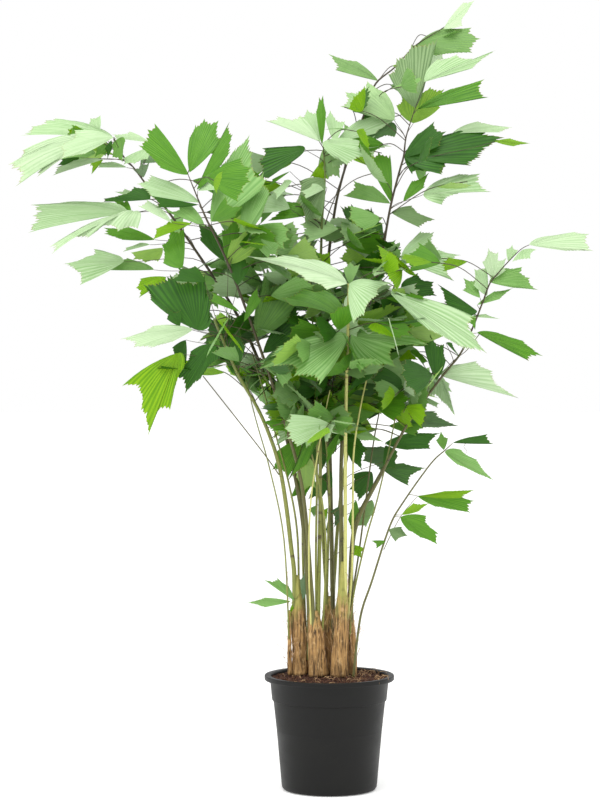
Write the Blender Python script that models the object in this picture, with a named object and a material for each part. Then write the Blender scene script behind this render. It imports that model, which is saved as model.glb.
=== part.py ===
# Fishtail palm in a nursery pot: a clump of sheathed stems, arching leaf stalks and lobed leaf blades.
# Metres, +Z up. The origin is the centre of the pot's flat underside, and the front view looks along +Y.

import math

import bmesh
import bpy
from mathutils import Vector
from mathutils.geometry import interpolate_bezier

# Pot
POT_HEIGHT = 0.300
RIM_RADIUS = 0.170
LIP_HEIGHT = 0.013
LIP_EDGE = 0.002
BAND_TOP_RADIUS = 0.1555
BAND_FOOT_RADIUS = 0.150
BAND_FOOT_HEIGHT = 0.234
BAND_STEP = 0.004
BODY_TOP_RADIUS = 0.145
BODY_FOOT_RADIUS = 0.125
FOOT_ROUND = 0.012
WALL = 0.003
POT_SIDES = 40

# Soil, heaped a little round the stems
SOIL_EDGE_HEIGHT = 0.291
SOIL_TOP_HEIGHT = 0.300
SOIL_FLAT_RADIUS = 0.118

# Clearance between touching pieces
GAP = 0.0003

# Limbs
STEM_SIDES = 10
STEM_RINGS = 8
STALK_SIDES = 8
RINGS_PER_BEND = 3
ROOT_FLARE = 0.006
FLARE_RATE = 12.0

# Leaf blades
BLADE_THICKNESS = 0.004
BLADE_BASE_HALF_WIDTH = 0.0025
LOBE_SPREAD = math.radians(15.0)
FIRST_LOBE_ANGLE = math.radians(66.0)
LAST_LOBE_ANGLE = math.radians(38.0)
SHOULDER_REACH = 0.84
NOTCH_REACH = 0.42
SHORT_LOBE = 0.86

# Sheathed stems: foot and top as (x, y), height of the flat top, radius at foot and top
STEMS = {
    "stem_left": dict(foot=(-0.074, 0.008), top=(-0.086, 0.006), height=0.560, radius=(0.018, 0.0145)),
    "stem_middle": dict(foot=(-0.030, -0.022), top=(-0.041, -0.020), height=0.470, radius=(0.019, 0.0200)),
    "stem_right": dict(foot=(0.026, -0.030), top=(0.037, -0.034), height=0.600, radius=(0.018, 0.0125)),
    "stem_far_right": dict(foot=(0.056, 0.014), top=(0.055, 0.012), height=0.480, radius=(0.012, 0.0115)),
    "stem_back": dict(foot=(0.000, 0.050), top=(0.002, 0.052), height=0.500, radius=(0.019, 0.0190)),
    "stem_stump": dict(foot=(0.064, -0.028), top=(0.063, -0.030), height=0.415, radius=(0.006, 0.0055)),
    "stem_pup": dict(foot=(-0.104, -0.008), top=(-0.105, -0.010), height=0.470, radius=(0.0045, 0.0040)),
}

# Leaf stalks: the stem that carries each, its seat on that stem's top, radius at foot and end, and the
# points that it bends through, the last one being where its end leaf starts
STALKS = {
    "stalk_low_left": dict(
        stem="stem_left", seat=(-0.006, -0.006), radius=(0.0060, 0.0032),
        route=[(-0.125, -0.020, 0.820), (-0.175, -0.050, 0.975), (-0.240, -0.100, 1.095),
               (-0.297, -0.140, 1.232)]),
    "stalk_far_left": dict(
        stem="stem_middle", seat=(-0.012, 0.004), radius=(0.0065, 0.0025),
        route=[(-0.070, 0.010, 0.705), (-0.115, 0.040, 0.930), (-0.165, 0.060, 1.070),
               (-0.250, 0.080, 1.255), (-0.410, 0.080, 1.495), (-0.485, 0.070, 1.590)]),
    "stalk_dark_left": dict(
        stem="stem_middle", seat=(-0.002, -0.011), radius=(0.0052, 0.0025),
        route=[(-0.070, -0.045, 0.785), (-0.125, -0.070, 0.990), (-0.190, -0.100, 1.185),
               (-0.260, -0.130, 1.370), (-0.320, -0.140, 1.495)]),
    "stalk_centre": dict(
        stem="stem_middle", seat=(0.012, 0.003), radius=(0.0055, 0.0030),
        route=[(-0.024, -0.002, 0.810), (-0.024, 0.000, 1.280), (-0.020, 0.000, 1.480)]),
    "stalk_front": dict(
        stem="stem_right", seat=(0.004, -0.006), radius=(0.0048, 0.0034),
        route=[(0.041, -0.070, 0.945), (0.045, -0.160, 1.190), (0.046, -0.240, 1.310)]),
    "stalk_tall_right": dict(
        stem="stem_right", seat=(-0.004, 0.006), radius=(0.0055, 0.0025),
        route=[(0.030, -0.010, 0.810), (0.040, 0.010, 0.990), (0.078, 0.022, 1.180),
               (0.130, 0.030, 1.360), (0.160, 0.030, 1.525), (0.195, 0.030, 1.660)]),
    "stalk_right": dict(
        stem="stem_far_right", seat=(0.003, -0.005), radius=(0.0050, 0.0020),
        route=[(0.067, 0.002, 0.675), (0.135, -0.006, 0.825), (0.205, -0.020, 0.960),
               (0.295, -0.030, 1.085), (0.350, -0.040, 1.160), (0.415, -0.060, 1.325)]),
    "stalk_inner_right": dict(
        stem="stem_far_right", seat=(-0.003, 0.006), radius=(0.0042, 0.0020),
        route=[(0.062, 0.036, 0.670), (0.105, 0.055, 0.770), (0.170, 0.075, 0.885),
               (0.225, 0.085, 0.995), (0.298, 0.085, 1.135)]),
    "stalk_top_back": dict(
        stem="stem_back", seat=(0.008, -0.007), radius=(0.0055, 0.0025),
        route=[(0.004, 0.075, 0.805), (-0.005, 0.095, 1.285), (0.010, 0.115, 1.485),
               (0.045, 0.130, 1.640), (0.125, 0.150, 1.860)]),
    "stalk_inner_low": dict(
        stem="stem_back", seat=(-0.009, -0.006), radius=(0.0040, 0.0022),
        route=[(-0.003, 0.036, 0.640), (0.000, 0.020, 0.780), (-0.012, -0.020, 0.930),
               (-0.040, -0.060, 1.020)]),
    "stalk_back_left": dict(
        stem="stem_back", seat=(-0.009, 0.008), radius=(0.0052, 0.0026),
        route=[(-0.030, 0.100, 0.800), (-0.095, 0.200, 1.130), (-0.190, 0.320, 1.400)]),
    "stalk_back_right": dict(
        stem="stem_back", seat=(0.009, 0.008), radius=(0.0052, 0.0026),
        route=[(0.035, 0.105, 0.790), (0.105, 0.225, 1.110), (0.185, 0.340, 1.330)]),
    "stalk_low_right": dict(
        stem=None, seat=(0.062, -0.050), radius=(0.0034, 0.0016),
        route=[(0.080, -0.048, 0.455), (0.110, -0.048, 0.550), (0.155, -0.052, 0.690),
               (0.190, -0.058, 0.755), (0.260, -0.070, 0.855), (0.295, -0.080, 0.890)]),
}

# A thin side stalk that springs from a larger one: parent, height on it, radius, route
SIDE_STALKS = {
    "stalk_thin_left": dict(
        parent="stalk_low_left", height=0.815, radius=(0.0016, 0.0013),
        route=[(-0.180, -0.060, 0.895), (-0.325, -0.140, 1.085)]),
}

# Leaf blades: the stalk that carries each, the height at which it leaves it (None is the stalk's end),
# the point that its midrib runs to, the side its upper face looks to, how far its side lobes reach left
# and right of the midrib, how far its end lobe reaches on, and the number of lobes a side
FRONT = (0.0, -1.0, 0.25)
FRONT_UP = (0.0, -1.0, 0.9)
UP = (0.0, -0.35, 1.0)
BACK_UP = (0.0, 1.0, 0.9)
LEFT_UP = (-0.8, -0.6, 0.7)
BLADES = {
    "blade_low_left_outer": dict(
        stalk="stalk_low_left", height=1.110, to=(-0.365, -0.280, 1.150), face=FRONT,
        reach=(0.200, 0.120), tip=0.170, lobes=2),
    "blade_low_left_end": dict(
        stalk="stalk_low_left", height=None, to=(-0.265, -0.150, 1.335), face=FRONT,
        reach=(0.060, 0.070), tip=0.080, lobes=3),
    "blade_far_left_low": dict(
        stalk="stalk_far_left", height=1.300, to=(-0.525, 0.020, 1.340), face=FRONT_UP,
        reach=(0.085, 0.080), tip=0.165, lobes=3),
    "blade_far_left_middle": dict(
        stalk="stalk_far_left", height=1.400, to=(-0.565, 0.030, 1.440), face=FRONT_UP,
        reach=(0.090, 0.110), tip=0.245, lobes=2),
    "blade_far_left_end": dict(
        stalk="stalk_far_left", height=None, to=(-0.675, 0.015, 1.613), face=FRONT,
        reach=(0.060, 0.160), tip=0.175, lobes=3),
    "blade_dark_left_end": dict(
        stalk="stalk_dark_left", height=None, to=(-0.355, -0.170, 1.615), face=FRONT,
        reach=(0.170, 0.165), tip=0.130, lobes=2),
    "blade_dark_left_right": dict(
        stalk="stalk_dark_left", height=1.420, to=(-0.215, -0.190, 1.545), face=FRONT,
        reach=(0.050, 0.110), tip=0.120, lobes=2),
    "blade_dark_left_low": dict(
        stalk="stalk_dark_left", height=1.260, to=(-0.375, -0.030, 1.380), face=FRONT_UP,
        reach=(0.070, 0.080), tip=0.110, lobes=2),
    "blade_centre_end": dict(
        stalk="stalk_centre", height=None, to=(-0.030, 0.022, 1.690), face=FRONT,
        reach=(0.170, 0.175), tip=0.125, lobes=3),
    "blade_centre_left": dict(
        stalk="stalk_centre", height=1.240, to=(-0.145, -0.070, 1.370), face=FRONT,
        reach=(0.110, 0.060), tip=0.110, lobes=2),
    "blade_centre_low": dict(
        stalk="stalk_centre", height=1.040, to=(-0.125, 0.030, 1.150), face=FRONT,
        reach=(0.050, 0.060), tip=0.090, lobes=2),
    "blade_top_back_end": dict(
        stalk="stalk_top_back", height=None, to=(0.270, 0.160, 1.965), face=FRONT,
        reach=(0.060, 0.150), tip=0.155, lobes=2),
    "blade_top_back_left": dict(
        stalk="stalk_top_back", height=1.700, to=(0.030, 0.120, 1.760), face=FRONT,
        reach=(0.060, 0.060), tip=0.085, lobes=1),
    "blade_tall_right_end": dict(
        stalk="stalk_tall_right", height=None, to=(0.222, 0.050, 1.810), face=FRONT,
        reach=(0.140, 0.210), tip=0.150, lobes=2),
    "blade_tall_right_upper": dict(
        stalk="stalk_tall_right", height=1.635, to=(0.320, -0.095, 1.685), face=FRONT_UP,
        reach=(0.070, 0.100), tip=0.130, lobes=2),
    "blade_tall_right_middle": dict(
        stalk="stalk_tall_right", height=1.500, to=(0.310, -0.010, 1.560), face=UP,
        reach=(0.070, 0.060), tip=0.130, lobes=2),
    "blade_tall_right_left": dict(
        stalk="stalk_tall_right", height=1.390, to=(0.040, -0.020, 1.500), face=FRONT,
        reach=(0.090, 0.100), tip=0.100, lobes=2),
    "blade_tall_right_low": dict(
        stalk="stalk_tall_right", height=1.340, to=(0.250, -0.030, 1.390), face=FRONT_UP,
        reach=(0.080, 0.100), tip=0.110, lobes=2),
    "blade_front_low_left": dict(
        stalk="stalk_front", height=1.190, to=(-0.075, -0.240, 1.140), face=FRONT_UP,
        reach=(0.090, 0.030), tip=0.120, lobes=2),
    "blade_front_low_right": dict(
        stalk="stalk_front", height=1.180, to=(0.150, -0.240, 1.170), face=FRONT_UP,
        reach=(0.050, 0.110), tip=0.120, lobes=2),
    "blade_front_end": dict(
        stalk="stalk_front", height=None, to=(0.010, -0.345, 1.370), face=UP,
        reach=(0.150, 0.080), tip=0.110, lobes=2),
    "blade_front_right": dict(
        stalk="stalk_front", height=1.270, to=(0.235, -0.340, 1.220), face=UP,
        reach=(0.060, 0.060), tip=0.190, lobes=3),
    "blade_right_end": dict(
        stalk="stalk_right", height=None, to=(0.545, -0.085, 1.405), face=FRONT,
        reach=(0.110, 0.090), tip=0.150, lobes=2),
    "blade_right_drape": dict(
        stalk="stalk_right", height=1.175, to=(0.470, -0.110, 1.160), face=UP,
        reach=(0.050, 0.030), tip=0.090, lobes=2),
    "blade_right_low": dict(
        stalk="stalk_right", height=1.070, to=(0.415, -0.080, 1.080), face=FRONT_UP,
        reach=(0.030, 0.040), tip=0.085, lobes=1),
    "blade_right_inner": dict(
        stalk="stalk_right", height=1.130, to=(0.320, -0.130, 1.260), face=LEFT_UP,
        reach=(0.070, 0.060), tip=0.060, lobes=2),
    "blade_inner_right_end": dict(
        stalk="stalk_inner_right", height=None, to=(0.285, 0.110, 1.220), face=FRONT,
        reach=(0.080, 0.060), tip=0.070, lobes=2),
    "blade_inner_right_low": dict(
        stalk="stalk_inner_right", height=0.960, to=(0.180, 0.010, 1.060), face=FRONT,
        reach=(0.060, 0.090), tip=0.070, lobes=2),
    "blade_low_right_end": dict(
        stalk="stalk_low_right", height=None, to=(0.350, -0.100, 0.885), face=FRONT_UP,
        reach=(0.040, 0.060), tip=0.070, lobes=2),
    "blade_low_right_low": dict(
        stalk="stalk_low_right", height=0.735, to=(0.290, -0.110, 0.760), face=FRONT_UP,
        reach=(0.040, 0.080), tip=0.080, lobes=2),
    "blade_inner_low_end": dict(
        stalk="stalk_inner_low", height=None, to=(-0.095, -0.140, 0.990), face=FRONT_UP,
        reach=(0.080, 0.060), tip=0.080, lobes=2),
    "blade_thin_left_end": dict(
        stalk="stalk_thin_left", height=None, to=(-0.350, -0.165, 1.110), face=FRONT,
        reach=(0.060, 0.070), tip=0.060, lobes=1),
    "blade_back_left_end": dict(
        stalk="stalk_back_left", height=None, to=(-0.290, 0.450, 1.560), face=BACK_UP,
        reach=(0.150, 0.150), tip=0.130, lobes=3),
    "blade_back_left_side": dict(
        stalk="stalk_back_left", height=1.220, to=(-0.070, 0.360, 1.370), face=BACK_UP,
        reach=(0.100, 0.100), tip=0.110, lobes=2),
    "blade_back_right_end": dict(
        stalk="stalk_back_right", height=None, to=(0.285, 0.455, 1.465), face=BACK_UP,
        reach=(0.150, 0.150), tip=0.130, lobes=3),
    "blade_back_right_side": dict(
        stalk="stalk_back_right", height=1.050, to=(0.060, 0.340, 1.130), face=BACK_UP,
        reach=(0.100, 0.100), tip=0.120, lobes=2),
    "blade_pup": dict(
        stalk="stem_pup", height=None, to=(-0.165, -0.040, 0.500), face=FRONT_UP,
        reach=(0.050, 0.045), tip=0.055, lobes=1),
}


def plainMaterial(name, colour, roughness):
    material = bpy.data.materials.new(name)
    material.use_nodes = True
    shader = material.node_tree.nodes["Principled BSDF"]
    shader.inputs["Base Color"].default_value = (*colour, 1.0)
    shader.inputs["Roughness"].default_value = roughness
    shader.inputs["Metallic"].default_value = 0.0
    return material


def addObject(name, shape, material, smooth):
    mesh = bpy.data.meshes.new(name)
    bmesh.ops.recalc_face_normals(shape, faces=shape.faces)
    shape.to_mesh(mesh)
    shape.free()
    mesh.materials.append(material)
    if smooth:
        mesh.shade_smooth()
        mesh.set_sharp_from_angle(angle=math.radians(35.0))
    piece = bpy.data.objects.new(name, mesh)
    bpy.context.scene.collection.objects.link(piece)
    return piece


# A turned piece: the profile starts and ends on the axis, as (radius, height)
def turned(name, profile, material):
    shape = bmesh.new()
    rings = []
    for radius, height in profile[1:-1]:
        ring = []
        for i in range(POT_SIDES):
            angle = 2.0 * math.pi * i / POT_SIDES
            ring.append(shape.verts.new((radius * math.cos(angle), radius * math.sin(angle), height)))
        rings.append(ring)
    for lower, upper in zip(rings, rings[1:]):
        joinRings(shape, lower, upper)
    shape.faces.new(rings[0])
    shape.faces.new(rings[-1])
    return addObject(name, shape, material, True)


def joinRings(shape, lower, upper):
    count = len(lower)
    for i in range(count):
        j = (i + 1) % count
        shape.faces.new((lower[i], lower[j], upper[j], upper[i]))


# A tapering limb with flat ends: its first rings are level, the others lie square to the path
def limb(name, path, radii, sides, levelRings, material):
    shape = bmesh.new()
    rings = []
    across = Vector((1.0, 0.0, 0.0))
    for i, point in enumerate(path):
        before = path[max(i - 1, 0)]
        after = path[min(i + 1, len(path) - 1)]
        along = Vector((0.0, 0.0, 1.0)) if i < levelRings else (after - before).normalized()
        across = (across - along * across.dot(along)).normalized()
        other = along.cross(across)
        ring = []
        for k in range(sides):
            angle = 2.0 * math.pi * k / sides
            offset = across * math.cos(angle) + other * math.sin(angle)
            ring.append(shape.verts.new(point + offset * radii[i]))
        rings.append(ring)
    for lower, upper in zip(rings, rings[1:]):
        joinRings(shape, lower, upper)
    shape.faces.new(rings[0])
    shape.faces.new(rings[-1])
    return addObject(name, shape, material, True)


# A smooth path through the given points
def smoothPath(points):
    points = [Vector(point) for point in points]
    path = [points[0]]
    for i in range(len(points) - 1):
        before = points[max(i - 1, 0)]
        start = points[i]
        end = points[i + 1]
        after = points[min(i + 2, len(points) - 1)]
        startHandle = start + (end - before) / 6.0
        endHandle = end - (after - start) / 6.0
        path += interpolate_bezier(start, startHandle, endHandle, end, RINGS_PER_BEND + 1)[1:]
    return path


def evenTaper(count, radius):
    return [radius[0] + (radius[1] - radius[0]) * i / (count - 1) for i in range(count)]


def makePot(material):
    rimFoot = POT_HEIGHT - LIP_HEIGHT
    profile = [(0.0, 0.0)]
    for step in range(5):
        angle = math.radians(22.5 * step)
        profile.append((BODY_FOOT_RADIUS - FOOT_ROUND * (1.0 - math.sin(angle)),
                        FOOT_ROUND * (1.0 - math.cos(angle))))
    profile += [
        (BODY_TOP_RADIUS, BAND_FOOT_HEIGHT - BAND_STEP),
        (BAND_FOOT_RADIUS, BAND_FOOT_HEIGHT),
        (BAND_TOP_RADIUS, rimFoot),
        (RIM_RADIUS, rimFoot),
        (RIM_RADIUS, POT_HEIGHT - LIP_EDGE),
        (RIM_RADIUS - LIP_EDGE, POT_HEIGHT),
        (BAND_TOP_RADIUS - WALL, POT_HEIGHT),
        (BAND_FOOT_RADIUS - WALL, BAND_FOOT_HEIGHT + WALL),
        (BODY_TOP_RADIUS - WALL, BAND_FOOT_HEIGHT - BAND_STEP),
        (BODY_FOOT_RADIUS - WALL, FOOT_ROUND),
        (BODY_FOOT_RADIUS - FOOT_ROUND, WALL),
        (0.0, WALL),
    ]
    return turned("pot", profile, material)


# The soil fills the pot, clear of its wall by the usual gap all round
def makeSoil(material):
    slack = WALL + 2.0 * GAP
    edge = BAND_FOOT_RADIUS + (BAND_TOP_RADIUS - BAND_FOOT_RADIUS) * 0.8 - slack
    profile = [
        (0.0, WALL + GAP),
        (BODY_FOOT_RADIUS - FOOT_ROUND - GAP, WALL + GAP),
        (BODY_FOOT_RADIUS - slack, FOOT_ROUND + GAP),
        (BODY_TOP_RADIUS - slack, BAND_FOOT_HEIGHT - BAND_STEP),
        (BAND_FOOT_RADIUS - slack, BAND_FOOT_HEIGHT + WALL + GAP),
        (edge, SOIL_EDGE_HEIGHT),
        (SOIL_FLAT_RADIUS, SOIL_TOP_HEIGHT),
        (0.0, SOIL_TOP_HEIGHT),
    ]
    return turned("soil", profile, material)


# A stem leans from foot to top and flares where it meets the soil
def makeStem(name, sizes, material):
    foot = Vector((*sizes["foot"], SOIL_TOP_HEIGHT + GAP))
    top = Vector((*sizes["top"], sizes["height"]))
    path = []
    radii = []
    for i in range(STEM_RINGS):
        along = i / (STEM_RINGS - 1)
        flare = ROOT_FLARE * sizes["radius"][0] / 0.018 * math.exp(-FLARE_RATE * along)
        path.append(foot.lerp(top, along))
        radii.append(sizes["radius"][0] + (sizes["radius"][1] - sizes["radius"][0]) * along + flare)
    limb(name, path, radii, STEM_SIDES, STEM_RINGS, material)
    return path, radii


def makeStalk(name, sizes, stems, material):
    if sizes["stem"] is None:
        foot = Vector((*sizes["seat"], SOIL_TOP_HEIGHT + GAP))
    else:
        foot = stems[sizes["stem"]][0][-1] + Vector((*sizes["seat"], GAP))
    path = smoothPath([foot] + sizes["route"])
    radii = evenTaper(len(path), sizes["radius"])
    limb(name, path, radii, STALK_SIDES, 1, material)
    return path, radii


# The point of a limb at a height, its direction there and its radius
def placeOn(carrier, height):
    path, radii = carrier
    if height is None:
        return path[-1], (path[-1] - path[-2]).normalized(), radii[-1]
    for i in range(len(path) - 1):
        if path[i].z <= height <= path[i + 1].z:
            share = (height - path[i].z) / (path[i + 1].z - path[i].z)
            point = path[i].lerp(path[i + 1], share)
            radius = radii[i] + (radii[i + 1] - radii[i]) * share
            return point, (path[i + 1] - path[i]).normalized(), radius
    return path[-1], (path[-1] - path[-2]).normalized(), radii[-1]


# Where a flat bar that leaves a limb towards an aim has its foot, just clear of the limb's side or end
def footOn(carrier, height, aim, halfWidth, halfThickness, face):
    point, along, radius = placeOn(carrier, height)
    away = (aim - point).normalized()
    left = face.cross(away).normalized()
    normal = away.cross(left)
    if height is None:
        reach = halfWidth * abs(left.dot(along)) + halfThickness * abs(normal.dot(along))
        return point + along * (GAP + reach)
    outward = (away - along * away.dot(along)).normalized()
    reach = halfWidth * abs(left.dot(outward)) + halfThickness * abs(normal.dot(outward))
    return point + away * ((radius + GAP + reach) / away.dot(outward))


def makeSideStalk(name, sizes, carriers, material):
    aim = Vector(sizes["route"][0])
    half = sizes["radius"][0]
    foot = footOn(carriers[sizes["parent"]], sizes["height"], aim, half, half, Vector(FRONT))
    path = smoothPath([foot] + sizes["route"])
    radii = evenTaper(len(path), sizes["radius"])
    limb(name, path, radii, STALK_SIDES, 0, material)
    return path, radii


# The corners of one side's lobes, from the blade's base to its tip, as (along, aside)
def sideLobes(length, reach, lobes):
    corners = []
    spread = LOBE_SPREAD * min(1.0, 2.0 / lobes)
    for i in range(lobes):
        share = (i + 0.5) / lobes
        angle = FIRST_LOBE_ANGLE + (LAST_LOBE_ANGLE - FIRST_LOBE_ANGLE) * share
        size = reach * (SHORT_LOBE if i % 2 else 1.0)
        root = length * share
        shoulder = size * SHOULDER_REACH
        corners.append((root + shoulder * math.cos(angle + spread), shoulder * math.sin(angle + spread)))
        corners.append((root + size * math.cos(angle - spread), size * math.sin(angle - spread)))
        nextRoot = length * (i + 1) / lobes
        corners.append((nextRoot + NOTCH_REACH * size * math.cos(angle),
                        NOTCH_REACH * size * math.sin(angle)))
    return corners


def makeBlade(name, sizes, carriers, material):
    end = Vector(sizes["to"])
    face = Vector(sizes["face"])
    half = BLADE_BASE_HALF_WIDTH
    start = footOn(carriers[sizes["stalk"]], sizes["height"], end, half, BLADE_THICKNESS / 2.0, face)
    along = (end - start).normalized()
    left = face.cross(along).normalized()
    normal = along.cross(left)
    length = (end - start).length
    tip = sizes["tip"]
    leftSide = sideLobes(length, sizes["reach"][0], sizes["lobes"])
    rightSide = sideLobes(length, sizes["reach"][1], sizes["lobes"])
    outline = [(0.0, -half)]
    outline += [(a, -b) for a, b in rightSide]
    outline += [
        (length + tip * math.cos(LOBE_SPREAD), -tip * math.sin(LOBE_SPREAD)),
        (length + tip * SHOULDER_REACH, 0.0),
        (length + tip * SHORT_LOBE * math.cos(LOBE_SPREAD), tip * SHORT_LOBE * math.sin(LOBE_SPREAD)),
    ]
    outline += reversed(leftSide)
    outline.append((0.0, half))
    shape = bmesh.new()
    lower = []
    for a, b in outline:
        lower.append(shape.verts.new(start + along * a + left * b - normal * (BLADE_THICKNESS / 2.0)))
    face = shape.faces.new(lower)
    raised = bmesh.ops.extrude_face_region(shape, geom=[face])["geom"]
    raisedCorners = [item for item in raised if isinstance(item, bmesh.types.BMVert)]
    bmesh.ops.translate(shape, verts=raisedCorners, vec=normal * BLADE_THICKNESS)
    return addObject(name, shape, material, False)


def main():
    for item in list(bpy.data.objects):
        bpy.data.objects.remove(item, do_unlink=True)

    potPlastic = plainMaterial("pot_plastic", (0.020, 0.020, 0.020), 0.45)
    soilBrown = plainMaterial("soil_brown", (0.060, 0.028, 0.018), 0.95)
    sheathTan = plainMaterial("sheath_tan", (0.330, 0.240, 0.130), 0.80)
    stalkGreen = plainMaterial("stalk_green", (0.180, 0.210, 0.060), 0.45)
    leafGreen = plainMaterial("leaf_green", (0.120, 0.260, 0.090), 0.40)

    makePot(potPlastic)
    makeSoil(soilBrown)
    carriers = {}
    for name, sizes in STEMS.items():
        carriers[name] = makeStem(name, sizes, sheathTan)
    for name, sizes in STALKS.items():
        carriers[name] = makeStalk(name, sizes, carriers, stalkGreen)
    for name, sizes in SIDE_STALKS.items():
        carriers[name] = makeSideStalk(name, sizes, carriers, stalkGreen)
    for name, sizes in BLADES.items():
        makeBlade(name, sizes, carriers, leafGreen)


main()
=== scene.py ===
# Potted fishtail palm: stems, leaf stalks and fishtail leaflets, pot and soil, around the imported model
import math
import random

import bmesh
import bpy
import numpy as np
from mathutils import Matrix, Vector, noise
from mathutils.geometry import interpolate_bezier


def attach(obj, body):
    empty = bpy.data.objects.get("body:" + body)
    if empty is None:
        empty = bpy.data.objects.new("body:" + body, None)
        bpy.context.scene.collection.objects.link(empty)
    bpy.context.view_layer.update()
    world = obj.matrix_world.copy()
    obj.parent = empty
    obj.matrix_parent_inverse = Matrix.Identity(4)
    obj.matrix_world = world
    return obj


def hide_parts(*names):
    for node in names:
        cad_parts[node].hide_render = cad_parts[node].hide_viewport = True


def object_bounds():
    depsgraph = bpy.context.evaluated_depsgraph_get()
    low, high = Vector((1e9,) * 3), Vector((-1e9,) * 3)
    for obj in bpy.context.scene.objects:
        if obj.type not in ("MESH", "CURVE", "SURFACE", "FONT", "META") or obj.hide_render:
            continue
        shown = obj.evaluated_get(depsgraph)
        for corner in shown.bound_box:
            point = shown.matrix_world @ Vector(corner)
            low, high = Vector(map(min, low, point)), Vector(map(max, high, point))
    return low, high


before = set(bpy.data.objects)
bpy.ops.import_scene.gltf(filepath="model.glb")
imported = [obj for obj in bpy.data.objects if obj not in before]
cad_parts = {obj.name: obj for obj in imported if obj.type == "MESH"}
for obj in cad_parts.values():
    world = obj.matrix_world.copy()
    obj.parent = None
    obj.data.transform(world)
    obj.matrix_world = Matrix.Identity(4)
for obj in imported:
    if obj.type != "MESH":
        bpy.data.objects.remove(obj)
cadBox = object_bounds()

# How the photograph sees the plant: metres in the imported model's frame, and the photograph's own pixels
photo = dict(
    eye=(-0.077, -6.5, 1.2), aim=(-0.077, 0.0, 1.02), heightSeen=2.092, sensor=36.0, farthest=60.0,
    pixelsPerMetre=382.35, axisColumn=329.5, floorRow=790.0,
)
eye = Vector(photo["eye"])


# The point at a depth behind the pot's axis that the photograph shows at a pixel
def seen(pixel, depth):
    flat = Vector(((pixel[0] - photo["axisColumn"]) / photo["pixelsPerMetre"], 0.0,
                   (photo["floorRow"] - pixel[1]) / photo["pixelsPerMetre"]))
    return eye + (flat - eye) * ((depth - eye.y) / -eye.y)


# The pixel at which the photograph shows a point
def pixelOf(point):
    flat = eye + (point - eye) * (-eye.y / (point.y - eye.y))
    return (photo["axisColumn"] + flat.x * photo["pixelsPerMetre"],
            photo["floorRow"] - flat.z * photo["pixelsPerMetre"])


# Camera, light and floor; an area light has its place, the point it faces, its size and its power
stage = dict(
    floorSize=60.0, floorDrop=0.001, worldStrength=1.0,
    topLight=dict(at=(-0.3, -1.6, 4.2), to=(0.0, 0.0, 1.2), size=(3.6, 2.6), power=95.0),
    leftLight=dict(at=(-3.6, -2.2, 1.6), to=(0.0, 0.0, 0.9), size=(1.6, 2.6), power=30.0),
    rightLight=dict(at=(3.4, -2.4, 1.5), to=(0.0, 0.0, 0.9), size=(1.6, 2.6), power=16.0),
)


# A colour of 0 to 255 per channel as the shaders take it
def linear(colour):
    shades = []
    for part in colour:
        share = part / 255.0
        shades.append(share / 12.92 if share <= 0.04045 else ((share + 0.055) / 1.055) ** 2.4)
    return (*shades, 1.0)


def deselect():
    bpy.ops.object.select_all(action="DESELECT")


def makeCamera():
    target = Vector(photo["aim"])
    bpy.ops.object.camera_add(location=eye, rotation=(target - eye).to_track_quat("-Z", "Y").to_euler())
    camera = bpy.context.object
    camera.name = "photoCamera"
    camera.data.sensor_width = photo["sensor"]
    camera.data.lens = photo["sensor"] * (target - eye).length / photo["heightSeen"]
    camera.data.clip_end = photo["farthest"]
    bpy.context.scene.camera = camera


def makeLight(name, values):
    place = Vector(values["at"])
    turn = (Vector(values["to"]) - place).to_track_quat("-Z", "Y").to_euler()
    bpy.ops.object.light_add(type="AREA", location=place, rotation=turn)
    light = bpy.context.object
    light.name = name
    light.data.shape = "RECTANGLE"
    light.data.size, light.data.size_y = values["size"]
    light.data.energy = values["power"]


# Shader maths: a wire is one output socket, and sums on it add Math nodes
class Wire:
    def __init__(self, finish, socket):
        self.finish = finish
        self.socket = socket

    def maths(self, operation, first, second=0.0):
        return self.finish.node("ShaderNodeMath", dict(operation=operation), {0: first, 1: second})

    def __add__(self, other):
        return self.maths("ADD", self, other)

    def __radd__(self, other):
        return self.maths("ADD", other, self)

    def __mul__(self, other):
        return self.maths("MULTIPLY", self, other)

    def __rmul__(self, other):
        return self.maths("MULTIPLY", other, self)

    def sine(self):
        return self.maths("SINE", self)

    def floor(self):
        return self.maths("FLOOR", self)


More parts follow.
